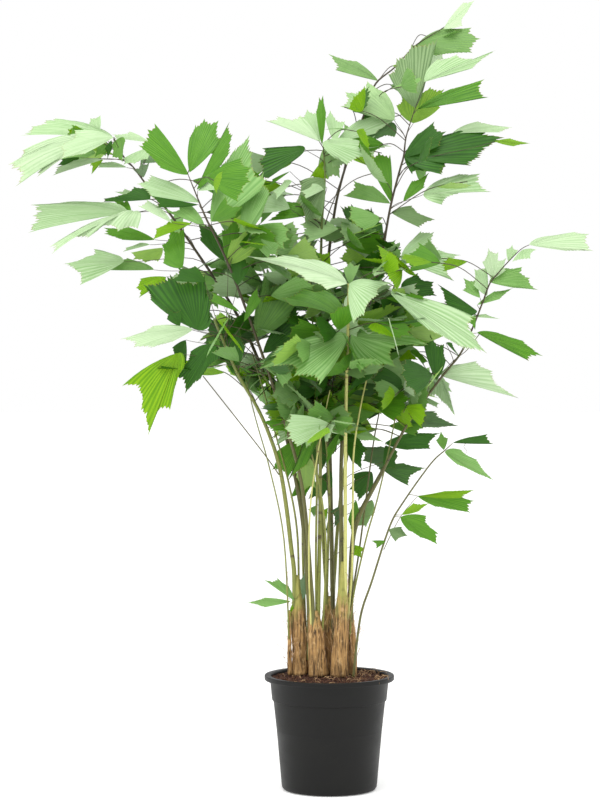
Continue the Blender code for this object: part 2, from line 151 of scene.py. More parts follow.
# A material under construction
class Finish:
    def __init__(self, name):
        self.material = bpy.data.materials.new(name)
        self.material.use_nodes = True
        self.tree = self.material.node_tree
        self.tree.nodes.clear()

    def node(self, kind, settings, sockets, output=0):
        made = self.tree.nodes.new(kind)
        for key, value in settings.items():
            setattr(made, key, value)
        for key, value in sockets.items():
            if isinstance(value, Wire):
                self.tree.links.new(value.socket, made.inputs[key])
            else:
                made.inputs[key].default_value = value
        return Wire(self, made.outputs[output]) if made.outputs else made

    def objectPlace(self):
        return self.node("ShaderNodeTexCoord", {}, {}, "Object")

    def ownMap(self):
        return self.node("ShaderNodeUVMap", dict(uv_map="shape"), {})

    def parts(self, vector):
        made = self.node("ShaderNodeSeparateXYZ", {}, {0: vector})
        outputs = made.socket.node.outputs
        return Wire(self, outputs[0]), Wire(self, outputs[1]), Wire(self, outputs[2])

    def stretched(self, vector, scale):
        return self.node("ShaderNodeMapping", {}, {"Vector": vector, "Scale": scale})

    def noise(self, vector, scale, detail=3.0, roughness=0.55):
        return self.node("ShaderNodeTexNoise", {},
                         {"Vector": vector, "Scale": scale, "Detail": detail, "Roughness": roughness})

    def between(self, value, low, high):
        return self.node("ShaderNodeMapRange", dict(interpolation_type="SMOOTHSTEP"),
                         {"Value": value, "From Min": low, "From Max": high})

    # The mask picks from the first colour to the second; a colour may be given as 0 to 255
    def mixed(self, mask, first, second):
        shades = [linear(c) if isinstance(c, tuple) else c for c in (first, second)]
        return self.node("ShaderNodeMix", dict(data_type="RGBA"), {0: mask, 6: shades[0], 7: shades[1]}, 2)

    def bump(self, height, strength, distance):
        return self.node("ShaderNodeBump", {},
                         {"Height": height, "Strength": strength, "Distance": distance})

    def plainShader(self, sockets):
        return self.node("ShaderNodeBsdfPrincipled", {}, sockets)

    def done(self, shader):
        self.node("ShaderNodeOutputMaterial", {}, {"Surface": shader})
        return self.material


# Leaf finishes, lit and shaded copies of one green: pale and mint carry a painted highlight where upper
# sides shine in the light, deep carries painted shade, and bright is yellow-green with painted back light
# besides its real translucency (glow)
leafTones = dict(
    pale=dict(colour=(176, 202, 156), rib=(134, 172, 112), shine=0.38, glow=0.10),
    mint=dict(colour=(136, 178, 100), rib=(92, 144, 60), shine=0.38, glow=0.15),
    mid=dict(colour=(96, 150, 34), rib=(60, 118, 14), shine=0.40, glow=0.24),
    deep=dict(colour=(52, 106, 10), rib=(30, 76, 4), shine=0.42, glow=0.16),
    bright=dict(colour=(138, 184, 20), rib=(92, 146, 4), shine=0.44, glow=0.40),
    grey=dict(colour=(122, 150, 98), rib=(80, 112, 60), shine=0.40, glow=0.10),
)
toneNames = list(leafTones)
leafLook = dict(
    veinStretch=(46.0, 1.1, 1.0), ribPitch=150.0, veinShare=0.75, stripes=(0.30, 0.72),
    ownLight=0.35, ownRange=(0.55, 1.0), light=(255, 255, 243.4),
    patchScale=28.0, patchRange=(0.5, 0.75), patchShare=0.22,
    dry=(150, 124, 62), dryRange=(1.000, 1.016), dryShare=0.7, tornScale=60.0, tornReach=0.03,
    relief=0.35, reliefDepth=0.0012, roughRange=(0.2, 0.9), roughSpread=0.16, specular=0.34,
)


def leafFinish(name, values):
    look = leafLook
    finish = Finish(name)
    place = finish.ownMap()
    across, along, _ = finish.parts(place)
    own = finish.node("ShaderNodeTexWhiteNoise", dict(noise_dimensions="1D"), {"W": across.floor()})
    veins = finish.noise(finish.stretched(place, look["veinStretch"]), 1.0, 2.0)
    ribs = (across * look["ribPitch"]).sine() * 0.5 + 0.5
    patches = finish.noise(finish.objectPlace(), look["patchScale"])
    stripes = finish.between(veins * look["veinShare"] + ribs * (1.0 - look["veinShare"]), *look["stripes"])
    colour = finish.mixed(stripes, values["colour"], values["rib"])
    lighter = finish.mixed(look["ownLight"], values["colour"], look["light"])
    colour = finish.mixed(finish.between(own, *look["ownRange"]) * look["ownLight"], colour, lighter)
    patched = finish.between(patches, *look["patchRange"]) * look["patchShare"]
    colour = finish.mixed(patched, colour, values["rib"])
    torn = along + finish.noise(place, look["tornScale"]) * look["tornReach"]
    colour = finish.mixed(finish.between(torn, *look["dryRange"]) * look["dryShare"], colour, look["dry"])
    relief = finish.bump(stripes, look["relief"], look["reliefDepth"])
    rough = finish.between(patches, *look["roughRange"]) * look["roughSpread"] + values["shine"]
    surface = finish.plainShader({"Base Color": colour, "Roughness": rough, "Normal": relief,
                                  "Specular IOR Level": look["specular"]})
    through = finish.node("ShaderNodeBsdfTranslucent", {}, {"Color": colour, "Normal": relief})
    return finish.done(finish.node("ShaderNodeMixShader", {}, {0: values["glow"], 1: surface, 2: through}))


# Stalk finishes: greens from low to high, with brown streaks and scars
stalkTones = dict(
    olive=dict(low=(132, 138, 62), high=(92, 108, 44), streak=(70, 62, 30), scar=(66, 44, 26)),
    lime=dict(low=(196, 196, 118), high=(178, 178, 104), streak=(150, 142, 72), scar=(120, 86, 44)),
    dark=dict(low=(96, 96, 44), high=(62, 52, 30), streak=(44, 36, 20), scar=(40, 26, 18)),
)
stalkLook = dict(
    heights=(0.65, 1.35), streakStretch=(420.0, 420.0, 9.0), streakRange=(0.45, 0.75), streakShare=0.75,
    ringStretch=(20.0, 20.0, 55.0), ringRange=(0.62, 0.74), ringShare=0.8,
    relief=0.4, reliefDepth=0.0008, roughness=0.46,
)


def stalkFinish(name, values):
    look = stalkLook
    finish = Finish(name)
    spot = finish.objectPlace()
    _, _, height = finish.parts(spot)
    streaks = finish.noise(finish.stretched(spot, look["streakStretch"]), 1.0)
    rings = finish.noise(finish.stretched(spot, look["ringStretch"]), 1.0, 2.0)
    colour = finish.mixed(finish.between(height, *look["heights"]), values["low"], values["high"])
    streaked = finish.between(streaks, *look["streakRange"]) * look["streakShare"]
    colour = finish.mixed(streaked, colour, values["streak"])
    scarred = finish.between(rings, *look["ringRange"]) * look["ringShare"]
    colour = finish.mixed(scarred, colour, values["scar"])
    relief = finish.bump(streaks, look["relief"], look["reliefDepth"])
    return finish.done(finish.plainShader({"Base Color": colour, "Roughness": look["roughness"],
                                           "Normal": relief}))


# Sheath finish: brown fibres, greener towards the top
sheathLook = dict(
    brown=(62, 42, 20), tan=(178, 138, 84), straw=(212, 176, 122), green=(158, 164, 84), old=(70, 48, 26),
    fibreStretch=(230.0, 230.0, 16.0), fibreRange=(0.34, 0.62), weaveStretch=(120.0, 120.0, 60.0),
    weaveRange=(0.5, 0.72), weaveShare=0.6, patchScale=22.0, greenHeights=(0.52, 0.62), greenSpread=0.20,
    greenShare=0.75, oldRange=(0.60, 0.72), oldShare=0.5, relief=0.8, weaveRelief=0.5, reliefDepth=0.0025,
    roughness=0.82,
)


def sheathFinish():
    look = sheathLook
    finish = Finish("sheathFibre")
    spot = finish.objectPlace()
    _, _, height = finish.parts(spot)
    fibres = finish.noise(finish.stretched(spot, look["fibreStretch"]), 1.0, 4.0, 0.6)
    weave = finish.noise(finish.stretched(spot, look["weaveStretch"]), 1.0)
    patches = finish.noise(spot, look["patchScale"], 2.0)
    colour = finish.mixed(finish.between(fibres, *look["fibreRange"]), look["brown"], look["tan"])
    woven = finish.between(weave, *look["weaveRange"]) * look["weaveShare"]
    colour = finish.mixed(woven, colour, look["straw"])
    green = finish.between(height + patches * look["greenSpread"], *look["greenHeights"])
    colour = finish.mixed(green * look["greenShare"], colour, look["green"])
    colour = finish.mixed(finish.between(patches, *look["oldRange"]) * look["oldShare"], colour, look["old"])
    relief = finish.bump(fibres + weave * look["weaveRelief"], look["relief"], look["reliefDepth"])
    return finish.done(finish.plainShader({"Base Color": colour, "Roughness": look["roughness"],
                                           "Normal": relief}))


# Soil browns: grains of wet and bark brown with pale chips; the darkest brown is painted shade, laid in
# clump-sized patches for the hollows between clumps
soilLook = dict(
    wet=(44, 26, 18), bark=(112, 70, 48), gap=(30, 18, 12), chip=(178, 138, 104), grainScale=260.0,
    clumpScale=70.0, barkRange=(0.36, 0.66), gapRange=(0.58, 0.7), gapShare=0.6, chipRange=(0.70, 0.76),
    reliefDepth=0.004, roughness=0.95,
)


def soilFinish():
    look = soilLook
    finish = Finish("pottingSoil")
    spot = finish.objectPlace()
    grains = finish.noise(spot, look["grainScale"], 4.0, 0.7)
    clumps = finish.noise(spot, look["clumpScale"])
    colour = finish.mixed(finish.between(grains, *look["barkRange"]), look["wet"], look["bark"])
    # Painted shade: the darkest brown in patches where hollows between clumps would be shaded
    colour = finish.mixed(finish.between(clumps, *look["gapRange"]) * look["gapShare"], colour, look["gap"])
    colour = finish.mixed(finish.between(grains, *look["chipRange"]), colour, look["chip"])
    relief = finish.bump(grains, 1.0, look["reliefDepth"])
    return finish.done(finish.plainShader({"Base Color": colour, "Roughness": look["roughness"],
                                           "Normal": relief}))


strawLook = dict(brown=(122, 86, 54), pale=(212, 176, 132), scale=90.0, range=(0.35, 0.65), roughness=0.8)


def strawFinish():
    look = strawLook
    finish = Finish("strawFibre")
    tint = finish.noise(finish.objectPlace(), look["scale"], 2.0)
    colour = finish.mixed(finish.between(tint, *look["range"]), look["brown"], look["pale"])
    return finish.done(finish.plainShader({"Base Color": colour, "Roughness": look["roughness"]}))


# Moulded polypropylene: near black, with a fine grain and faint rubbed patches
potLook = dict(
    black=(8, 8, 7), rubbed=(22, 22, 19), grainScale=900.0, dustStretch=(9.0, 9.0, 16.0),
    dustRange=(0.42, 0.78), dustShare=0.45, roughRange=(0.3, 0.8), roughSpread=0.12, roughness=0.44,
    relief=0.12, reliefDepth=0.0006, specular=0.24,
)


def potFinish():
    look = potLook
    finish = Finish("potPlastic")
    spot = finish.objectPlace()
    grain = finish.noise(spot, look["grainScale"], 2.0, 0.6)
    dust = finish.noise(finish.stretched(spot, look["dustStretch"]), 1.0, 4.0, 0.6)
    colour = finish.mixed(finish.between(dust, *look["dustRange"]) * look["dustShare"], look["black"],
                          look["rubbed"])
    rough = finish.between(dust, *look["roughRange"]) * look["roughSpread"] + look["roughness"]
    relief = finish.bump(grain, look["relief"], look["reliefDepth"])
    return finish.done(finish.plainShader({"Base Color": colour, "Roughness": rough, "Normal": relief,
                                           "Specular IOR Level": look["specular"]}))


# The floor glows a little, so that it stays as white as the background
floorLook = dict(colour=(250, 250, 249), white=(255, 255, 255), hazeScale=3.0, hazeShare=0.1, glow=0.22,
                 roughness=0.9, specular=0.1)


def floorFinish():
    look = floorLook
    finish = Finish("paleFloor")
    haze = finish.noise(finish.objectPlace(), look["hazeScale"], 2.0)
    colour = finish.mixed(haze * look["hazeShare"], look["colour"], look["white"])
    return finish.done(finish.plainShader({
        "Base Color": colour, "Roughness": look["roughness"], "Specular IOR Level": look["specular"],
        "Emission Color": linear(look["white"]), "Emission Strength": look["glow"]}))


def makeStage():
    makeCamera()
    for name in ("topLight", "leftLight", "rightLight"):
        makeLight(name, stage[name])
    world = bpy.data.worlds.new("whiteStudio")
    world.use_nodes = True
    background = world.node_tree.nodes["Background"]
    background.inputs["Color"].default_value = (1.0, 1.0, 1.0, 1.0)
    background.inputs["Strength"].default_value = stage["worldStrength"]
    bpy.context.scene.world = world
    bpy.context.scene.view_settings.view_transform = "Standard"
    deselect()
    bpy.ops.mesh.primitive_plane_add(size=stage["floorSize"], location=(0.0, 0.0, -stage["floorDrop"]))
    floor = bpy.context.object
    floor.name = "floor"
    bpy.ops.object.transform_apply()
    floor.data.materials.append(floorFinish())


# Corners nearer than merge become one, and faces thinner than sliver go, in metres
meshLimits = dict(merge=0.00015, sliver=0.00002)


# A surface under construction: grids of points, each with its place on the map and its finish
class Sheaf:
    def __init__(self):
        self.points = []
        self.faces = []
        self.maps = []
        self.kinds = []

    def grid(self, rows, mapRows, kind=0, wrapped=False):
        first = len(self.points)
        wide = len(rows[0])
        for row in rows:
            self.points.extend(row)
        columns = wide if wrapped else wide - 1
        for r in range(len(rows) - 1):
            for c in range(columns):
                d = (c + 1) % wide
                corners = ((r, c, c), (r, d, c + 1), (r + 1, d, c + 1), (r + 1, c, c))
                self.faces.append([first + row * wide + column for row, column, _ in corners])
                self.maps.extend(mapRows[row][place] for row, _, place in corners)
                self.kinds.append(kind)

    def build(self, name, finishes):
        mesh = bpy.data.meshes.new(name)
        mesh.from_pydata([tuple(p) for p in self.points], [], self.faces)
        layer = mesh.uv_layers.new(name="shape")
        layer.data.foreach_set("uv", np.array(self.maps, np.float32).ravel())
        mesh.polygons.foreach_set("material_index", np.array(self.kinds, np.int32))
        for finish in finishes:
            mesh.materials.append(finish)
        shape = bmesh.new()
        shape.from_mesh(mesh)
        bmesh.ops.remove_doubles(shape, verts=shape.verts, dist=meshLimits["merge"])
        bmesh.ops.dissolve_degenerate(shape, edges=shape.edges, dist=meshLimits["sliver"])
        shape.to_mesh(mesh)
        shape.free()
        mesh.shade_smooth()
        mesh.update()
        piece = bpy.data.objects.new(name, mesh)
        bpy.context.scene.collection.objects.link(piece)
        return piece


# A fine path through the given points
def smoothPath(points, steps):
    path = [points[0]]
    for i in range(len(points) - 1):
        before = points[max(i - 1, 0)]
        after = points[min(i + 2, len(points) - 1)]
        start = points[i]
        end = points[i + 1]
        path += interpolate_bezier(start, start + (end - before) / 6.0, end - (after - start) / 6.0, end,
                                   steps + 1)[1:]
    return path


# The middle line and radii of a packed limb, from its rings of corners
def packedLimb(node, sides):
    corners = {tuple(round(c, 5) for c in corner.co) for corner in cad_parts[node].data.vertices}
    corners = sorted(corners, key=lambda corner: corner[2])
    centres = []
    radii = []
    for first in range(0, len(corners), sides):
        ring = [Vector(corner) for corner in corners[first:first + sides]]
        centre = sum(ring, Vector()) / len(ring)
        centres.append(centre)
        radii.append(sum((corner - centre).length for corner in ring) / len(ring))
    return centres, radii


# A limb's path and radii with this many steps between its given points
def fineLimb(centres, radii, steps):
    path = smoothPath(centres, steps)
    fineRadii = [radii[0]]
    for low, high in zip(radii, radii[1:]):
        fineRadii += [low + (high - low) * (i + 1) / steps for i in range(steps)]
    return path, fineRadii


# Rings of a round limb along its path, closed to a point at both ends
def addTube(sheaf, path, radii, sides, kind=0, relief=None):
    rows = []
    maps = []
    across = Vector((1.0, 0.0, 0.0))
    travelled = 0.0
    last = len(path) - 1
    for i, point in enumerate(path):
        along = (path[min(i + 1, last)] - path[max(i - 1, 0)]).normalized()
        across = (across - along * across.dot(along)).normalized()
        other = along.cross(across)
        travelled += (point - path[max(i - 1, 0)]).length
        ring = []
        for k in range(sides):
            angle = 2.0 * math.pi * k / sides
            radius = radii[i] * (relief(angle, travelled) if relief else 1.0)
            ring.append(point + (across * math.cos(angle) + other * math.sin(angle)) * radius)
        rows.append(ring)
        maps.append([(k / sides, travelled) for k in range(sides + 1)])
    rows.insert(0, [path[0]] * sides)
    maps.insert(0, maps[0])
    rows.append([path[-1]] * sides)
    maps.append(maps[-1])
    sheaf.grid(rows, maps, kind, wrapped=True)


def leaf(tone, base, *rim, **more):
    return dict(tone=tone, base=base, rim=rim, **more)


# Leaflets that show at the front, one list per frond: a leaflet's tone, the pixel of its foot, and the
# pixels of its torn end from one edge to the other. More words shape one: arch lifts its middle, tilt turns
# its face, deep moves its foot back, and via bends it through a pixel.
# Each tone paints its leaflet's light: pale and mint a painted highlight, deep painted shade, bright painted
# back light
farLeftLeaflets = [
    leaf("pale", (114, 139), (21, 136), (32, 127), (46, 121), (56, 119), (70, 121), (84, 127), deep=0.03,
         arch=0.010),
    leaf("pale", (115, 138), (23, 151), (9, 165), (12, 169), (16, 187), (25, 165), (38, 177), (58, 160),
         arch=0.030, tilt=0.5, deep=-0.02),
    leaf("pale", (114, 138), (75, 131), (58, 147), (60, 160), (84, 155), deep=-0.05, tilt=0.8),
    leaf("pale", (100, 134), (82, 130), (91, 119), (101, 116), deep=0.05),
    leaf("deep", (93, 131), (80, 132), (84, 125), deep=0.06),
    leaf("pale", (104, 160), (53, 176), (56, 168), (74, 161)),
    leaf("deep", (80, 158), (72, 169), (58, 166), (62, 160), deep=0.02),
    leaf("mid", (107, 144), (97, 149), (95, 158), (106, 157), deep=0.02),
    leaf("deep", (112, 141), (105, 150), (108, 160), (113, 150)),
    leaf("mid", (122, 138), (112, 146), (113, 158), (123, 163), (126, 142)),
    leaf("bright", (104, 160), (87, 160), (92, 175), (98, 166)),
    leaf("pale", (127, 168), (98, 168), (97, 163), (112, 162), deep=0.02),
    leaf("pale", (150, 143), (115, 139), (113, 135), (130, 132)),
    leaf("pale", (150, 148), (148, 160), (134, 165), (124, 165), (122, 160)),
    leaf("deep", (144, 178), (133, 169), (142, 163), (150, 162)),
    leaf("pale", (128, 213), (28, 233), (31, 225), (33, 216), (36, 210), (31, 205), (66, 202), (98, 203),
         arch=0.012, tilt=0.5),
    leaf("pale", (134, 212), (52, 254), (50, 247), (64, 239), (88, 238), (103, 226), (118, 232), (138, 229),
         deep=-0.04, tilt=0.9, arch=0.02),
    leaf("mid", (155, 240), (122, 240), (104, 234), (104, 228), (128, 227)),
    leaf("bright", (163, 248), (131, 253), (133, 260), (145, 263), (158, 262), tilt=-0.5),
    leaf("deep", (150, 200), (104, 202), (104, 199), (118, 196), (134, 187), (146, 187)),
    leaf("mid", (132, 213), (115, 202), (118, 199), (128, 201)),
    leaf("pale", (140, 200), (115, 192), (125, 189), (138, 191), deep=0.03),
    leaf("pale", (150, 245), (123, 252), (126, 248), (140, 243)),
    leaf("pale", (124, 262), (80, 285), (72, 268), (64, 264), (86, 257), (94, 249), (110, 254), tilt=0.8),
    leaf("mid", (154, 270), (102, 270), (112, 262), (127, 258), (141, 262)),
    leaf("bright", (166, 277), (140, 279), (136, 288), (139, 298), (150, 291), (160, 290), tilt=0.2),
]
darkLeftLeaflets = [
    leaf("mid", (189, 175), (160, 168), (139, 146), (148, 130), (155, 124), tilt=0.2),
    leaf("mid", (190, 173), (190, 138), (196, 125), (205, 119), (219, 121), (223, 140), tilt=0.3),
    leaf("mid", (197, 190), (221, 142), (230, 122), (233, 135), (231, 152), (218, 172)),
    leaf("pale", (198, 191), (221, 173), (228, 182), (217, 190)),
    leaf("mint", (211, 222), (222, 165), (236, 148), (250, 135), (253, 152), (268, 179), (262, 190),
         tilt=0.5),
    leaf("mid", (212, 222), (226, 197), (243, 207), (236, 217)),
    leaf("mint", (240, 243), (246, 188), (264, 172), (271, 192), (262, 216)),
    leaf("pale", (200, 203), (152, 198), (137, 184), (150, 175), (168, 181), tilt=0.8),
    leaf("deep", (199, 205), (150, 196), (156, 208), (174, 208), tilt=-0.4),
    leaf("mint", (205, 227), (162, 207), (167, 212), (180, 204), (192, 206)),
    leaf("pale", (172, 223), (138, 206), (147, 200), (159, 206)),
    leaf("bright", (192, 224), (152, 240), (156, 229), (168, 222), tilt=0.4),
    leaf("mid", (183, 268), (163, 263), (162, 245), (170, 230), (184, 228)),
    leaf("deep", (225, 262), (200, 240), (198, 222), (212, 225), (222, 240), deep=0.05),
    leaf("mid", (228, 264), (222, 230), (236, 214), (244, 232), deep=0.04),
]
lowLeftLeaflets = [
    leaf("deep", (197, 330), (150, 299), (143, 284), (170, 274), (188, 281), (205, 274), (212, 300),
         (212, 319), tilt=0.3),
    leaf("pale", (193, 329), (152, 326), (120, 339), (134, 347), (150, 348), (172, 342), tilt=0.9),
    leaf("deep", (180, 326), (167, 319), (167, 308), (181, 310)),
    leaf("deep", (186, 340), (172, 348), (174, 361), (186, 364)),
    leaf("bright", (178, 353), (122, 386), (139, 391), (141, 410), (148, 436), (158, 411), (170, 410),
         (173, 395), (184, 368), deep=-0.03, tilt=0.2),
    leaf("deep", (212, 344), (190, 352), (176, 377), (185, 394), (200, 380), (220, 360), deep=-0.02),
    leaf("deep", (233, 374), (219, 340), (223, 322), (232, 314), (240, 325), (246, 345)),
    leaf("deep", (238, 285), (229, 268), (232, 255), (241, 249), (251, 264)),
    leaf("bright", (228, 264), (232, 240), (247, 229), (262, 243), (250, 256), deep=0.02, tilt=-0.4),
    leaf("deep", (205, 282), (170, 280), (178, 268), (195, 266)),
    leaf("mid", (240, 312), (208, 300), (212, 292), (224, 298)),
    leaf("mid", (244, 322), (250, 296), (258, 286), (262, 300)),
    leaf("mid", (256, 337), (258, 296), (264, 276), (282, 281), (300, 299), (290, 318), deep=0.06),
    leaf("deep", (263, 353), (285, 312), (298, 302), (322, 324), (300, 341), deep=0.07),
]
centreLeaflets = [
    leaf("deep", (305, 150), (290, 164), (268, 179), (256, 181), (258, 163), (262, 149), (277, 148),
         (293, 147)),
    leaf("mid", (322, 146), (316, 112), (319, 98), (323, 96), (326, 113)),
    leaf("pale", (319, 142), (303, 129), (265, 121), (277, 117), (300, 116), tilt=0.8),
    leaf("pale", (320, 143), (300, 118), (307, 110), (318, 113)),
    leaf("pale", (334, 144), (325, 118), (330, 111), (345, 122)),
    leaf("pale", (323, 143), (350, 139), (392, 147), (372, 156), (348, 166), (335, 159), tilt=0.9,
         deep=-0.03),
    leaf("mid", (326, 145), (345, 165), (340, 179), (328, 180), (318, 168)),
    leaf("bright", (324, 160), (328, 180), (318, 184), (310, 178)),
    leaf("grey", (325, 180), (299, 182), (296, 202), (305, 225), (320, 222)),
    leaf("pale", (327, 188), (303, 200), (300, 192), (312, 184)),
    leaf("pale", (290, 209), (262, 213), (260, 198), (275, 189)),
    leaf("mid", (311, 215), (268, 221), (284, 201), (300, 202)),
    leaf("mid", (290, 172), (268, 188), (272, 180)),
    leaf("pale", (292, 182), (276, 200), (272, 192), (284, 181)),
    leaf("grey", (300, 249), (272, 247), (272, 234), (288, 229)),
    leaf("grey", (319, 236), (301, 252), (298, 238), (304, 229)),
    leaf("grey", (318, 240), (304, 262), (300, 252), (312, 243), tilt=0.0358526),
    leaf("bright", (330, 269), (312, 262), (316, 252), (329, 252), tilt=-0.3),
    leaf("deep", (321, 290), (292, 285), (270, 290), (272, 276), (296, 270)),
    leaf("bright", (312, 291), (282, 284), (284, 269), (297, 266), (311, 268), deep=0.02),
    leaf("mid", (320, 262), (300, 258), (288, 250), (300, 246), (315, 250)),
]
frontLeaflets = [
    leaf("pale", (347, 283), (326, 290), (304, 280), (295, 272), (280, 266), (246, 256), (281, 255),
         (312, 259), tilt=0.9, arch=0.012),
    leaf("mid", (350, 285), (343, 268), (350, 262), (360, 264)),
    leaf("pale", (349, 284), (372, 280), (392, 283), (379, 295), (364, 316), (354, 324), tilt=0.9),
    leaf("mint", (351, 335), (363, 320), (380, 313), (405, 324), (429, 345), (399, 346), (396, 367),
         (380, 366), (361, 373), tilt=0.6),
    leaf("mint", (348, 335), (310, 337), (276, 347), (255, 370), (289, 365), (293, 377), (306, 377),
         (319, 385), (330, 366), tilt=0.7),
    leaf("deep", (349, 390), (364, 368), (380, 366), (372, 377)),
    leaf("pale", (391, 294), (410, 302), (440, 311), (477, 318), (478, 338), (487, 353), (466, 350),
         (447, 339), (430, 331), (416, 320), tilt=0.9, arch=0.008),
    leaf("bright", (391, 289), (405, 289), (411, 302), (400, 297)),
    leaf("mid", (348, 322), (290, 306), (282, 298), (300, 288), (322, 290), via=(326, 298), deep=0.04),
    leaf("bright", (352, 330), (366, 311), (392, 303), (404, 306), (392, 312), deep=0.03),
]
tallRightLeaflets = [
    leaf("grey", (415, 109), (388, 75), (396, 59), (411, 45), (437, 40), (426, 80), tilt=0.5),
    leaf("pale", (424, 83), (438, 60), (457, 55), (478, 59), (496, 51), (473, 69), (446, 77)),
    leaf("mid", (417, 110), (450, 90), (484, 80), (488, 98), (478, 87), (452, 96)),
    leaf("bright", (413, 124), (396, 106), (402, 90), (430, 88), (444, 90), (440, 108), deep=0.05),
    leaf("deep", (404, 158), (418, 134), (434, 122), (446, 132), (440, 146)),
    leaf("deep", (404, 158), (450, 134), (480, 125), (504, 138), (480, 158), (471, 166), (452, 161),
         (442, 175), tilt=0.5),
    leaf("pale", (452, 134), (478, 122), (512, 128), (500, 133), deep=0.04),
    leaf("bright", (494, 142), (510, 139), (530, 144), (513, 147)),
    leaf("deep", (404, 158), (423, 161), (424, 172), (412, 175)),
    leaf("pale", (423, 195), (445, 178), (460, 174), (480, 174), (491, 192), (469, 191), (442, 205),
         tilt=0.8),
    leaf("pale", (400, 259), (424, 250), (440, 250), (461, 255), (454, 265), (454, 281), (430, 266),
         tilt=0.9),
    leaf("pale", (401, 257), (412, 240), (421, 231), (434, 232), (438, 248)),
    leaf("grey", (391, 213), (412, 206), (435, 220), (420, 228)),
    leaf("mid", (403, 202), (412, 181), (429, 173), (425, 187)),
    leaf("mid", (391, 203), (367, 160), (378, 152), (390, 155)),
    leaf("mid", (390, 204), (343, 196), (353, 181), (372, 186)),
    leaf("deep", (379, 262), (348, 228), (340, 206), (351, 204), (371, 207), (382, 223), tilt=0.4),
    leaf("grey", (379, 264), (342, 244), (333, 227), (337, 221), (356, 236), tilt=0.5),
    leaf("bright", (378, 267), (360, 281), (350, 272), (339, 258), (345, 246), tilt=-0.4),
    leaf("deep", (377, 270), (376, 282), (362, 282), (352, 272), deep=0.03),
    leaf("deep", (394, 124), (380, 124), (356, 137), (372, 142), (394, 138), deep=0.03),
    leaf("mint", (394, 121), (356, 113), (340, 107), (345, 93), (367, 82), (385, 93), tilt=0.5),
    leaf("pale", (337, 142), (360, 120), (384, 112), (396, 120), (376, 134)),
    leaf("deep", (382, 258), (396, 255), (396, 280), (386, 275)),
    leaf("pale", (398, 260), (396, 268), (402, 272), (412, 262)),
    leaf("deep", (401, 288), (408, 278), (418, 273), (434, 282), (437, 296), (418, 300)),
]
rightLeaflets = [
    leaf("pale", (529, 245), (548, 236), (575, 232), (589, 234), (593, 251), (566, 251), tilt=0.6),
    leaf("pale", (522, 250), (536, 250), (530, 259), (512, 262)),
    leaf("pale", (508, 262), (506, 249), (512, 245), (518, 250)),
    leaf("pale", (493, 282), (482, 262), (488, 248), (498, 252)),
    leaf("pale", (487, 296), (473, 285), (474, 269), (486, 266)),
    leaf("pale", (493, 279), (497, 260), (506, 258), (506, 270)),
    leaf("mint", (489, 282), (506, 268), (522, 267), (530, 278), (538, 290), (514, 288)),
    leaf("mint", (477, 305), (495, 291), (513, 288), (500, 299)),
    leaf("mint", (480, 298), (462, 290), (463, 278), (474, 280)),
    leaf("deep", (477, 311), (458, 301), (437, 284), (444, 302), (450, 311), (464, 316)),
    leaf("mid", (475, 315), (475, 330), (465, 322)),
    leaf("pale", (472, 317), (486, 314), (500, 319)),
    leaf("mid", (477, 333), (499, 333), (524, 341), (543, 356), (529, 361), (514, 347)),
    leaf("deep", (446, 343), (452, 343), (461, 358)),
    leaf("pale", (441, 376), (459, 364), (477, 361), (493, 371), (519, 398), (488, 379), (466, 373),
         tilt=0.5),
    leaf("deep", (436, 380), (424, 346), (430, 334), (444, 344), (446, 360)),
]
innerRightLeaflets = [
    leaf("pale", (430, 378), (404, 385), (402, 392), (416, 392), (452, 392), (450, 384)),
    leaf("mint", (432, 374), (412, 369), (392, 371), (391, 380), (398, 391), (412, 388)),
    leaf("pale", (440, 378), (446, 382), (450, 395), (456, 418), (442, 402), (430, 396)),
    leaf("grey", (402, 408), (398, 390), (384, 390), (388, 404)),
    leaf("mid", (424, 402), (405, 416), (408, 398), (416, 392), deep=-0.02),
    leaf("pale", (410, 391), (440, 404), (438, 408), (424, 402)),
    leaf("deep", (394, 417), (415, 411), (436, 411), (460, 426), (440, 428), (418, 429)),
    leaf("deep", (385, 443), (412, 432), (441, 433), (431, 449), (408, 450)),
    leaf("deep", (385, 446), (398, 452), (397, 470), (384, 472)),
    leaf("deep", (381, 468), (404, 463), (427, 468), (409, 486), (398, 472)),
    leaf("bright", (406, 352), (410, 350), (418, 360), (398, 362)),
    leaf("mid", (416, 350), (428, 362), (424, 366), (410, 352)),
]
lowRightLeaflets = [
    leaf("mint", (445, 452), (462, 450), (478, 460), (495, 481), (480, 475), (458, 465), tilt=0.5),
    leaf("mid", (444, 450), (436, 440), (441, 431), (448, 438)),
    leaf("deep", (453, 443), (470, 437), (488, 434), (494, 444), (470, 441)),
    leaf("bright", (418, 496), (446, 491), (476, 490), (464, 498)),
    leaf("mid", (418, 496), (464, 498), (475, 501), (471, 513), (452, 510), (436, 507), tilt=0.3),
    leaf("bright", (402, 515), (414, 503), (430, 503), (420, 511)),
    leaf("mid", (401, 517), (427, 516), (439, 534), (438, 545), (421, 538), (409, 531)),
    leaf("grey", (389, 530), (402, 527), (408, 536), (396, 542)),
    leaf("mid", (386, 541), (371, 541), (376, 549)),
]
topBackLeaflets = [
    leaf("pale", (443, 30), (463, 4), (474, 2), (467, 13), (462, 27)),
    leaf("mid", (417, 46), (445, 29), (471, 29), (480, 40), (472, 54), (436, 57), tilt=0.4),
    leaf("mid", (378, 82), (356, 62), (328, 55), (335, 71), (354, 75)),
    leaf("mint", (352, 150), (340, 138), (344, 124), (356, 128), deep=0.02),
]
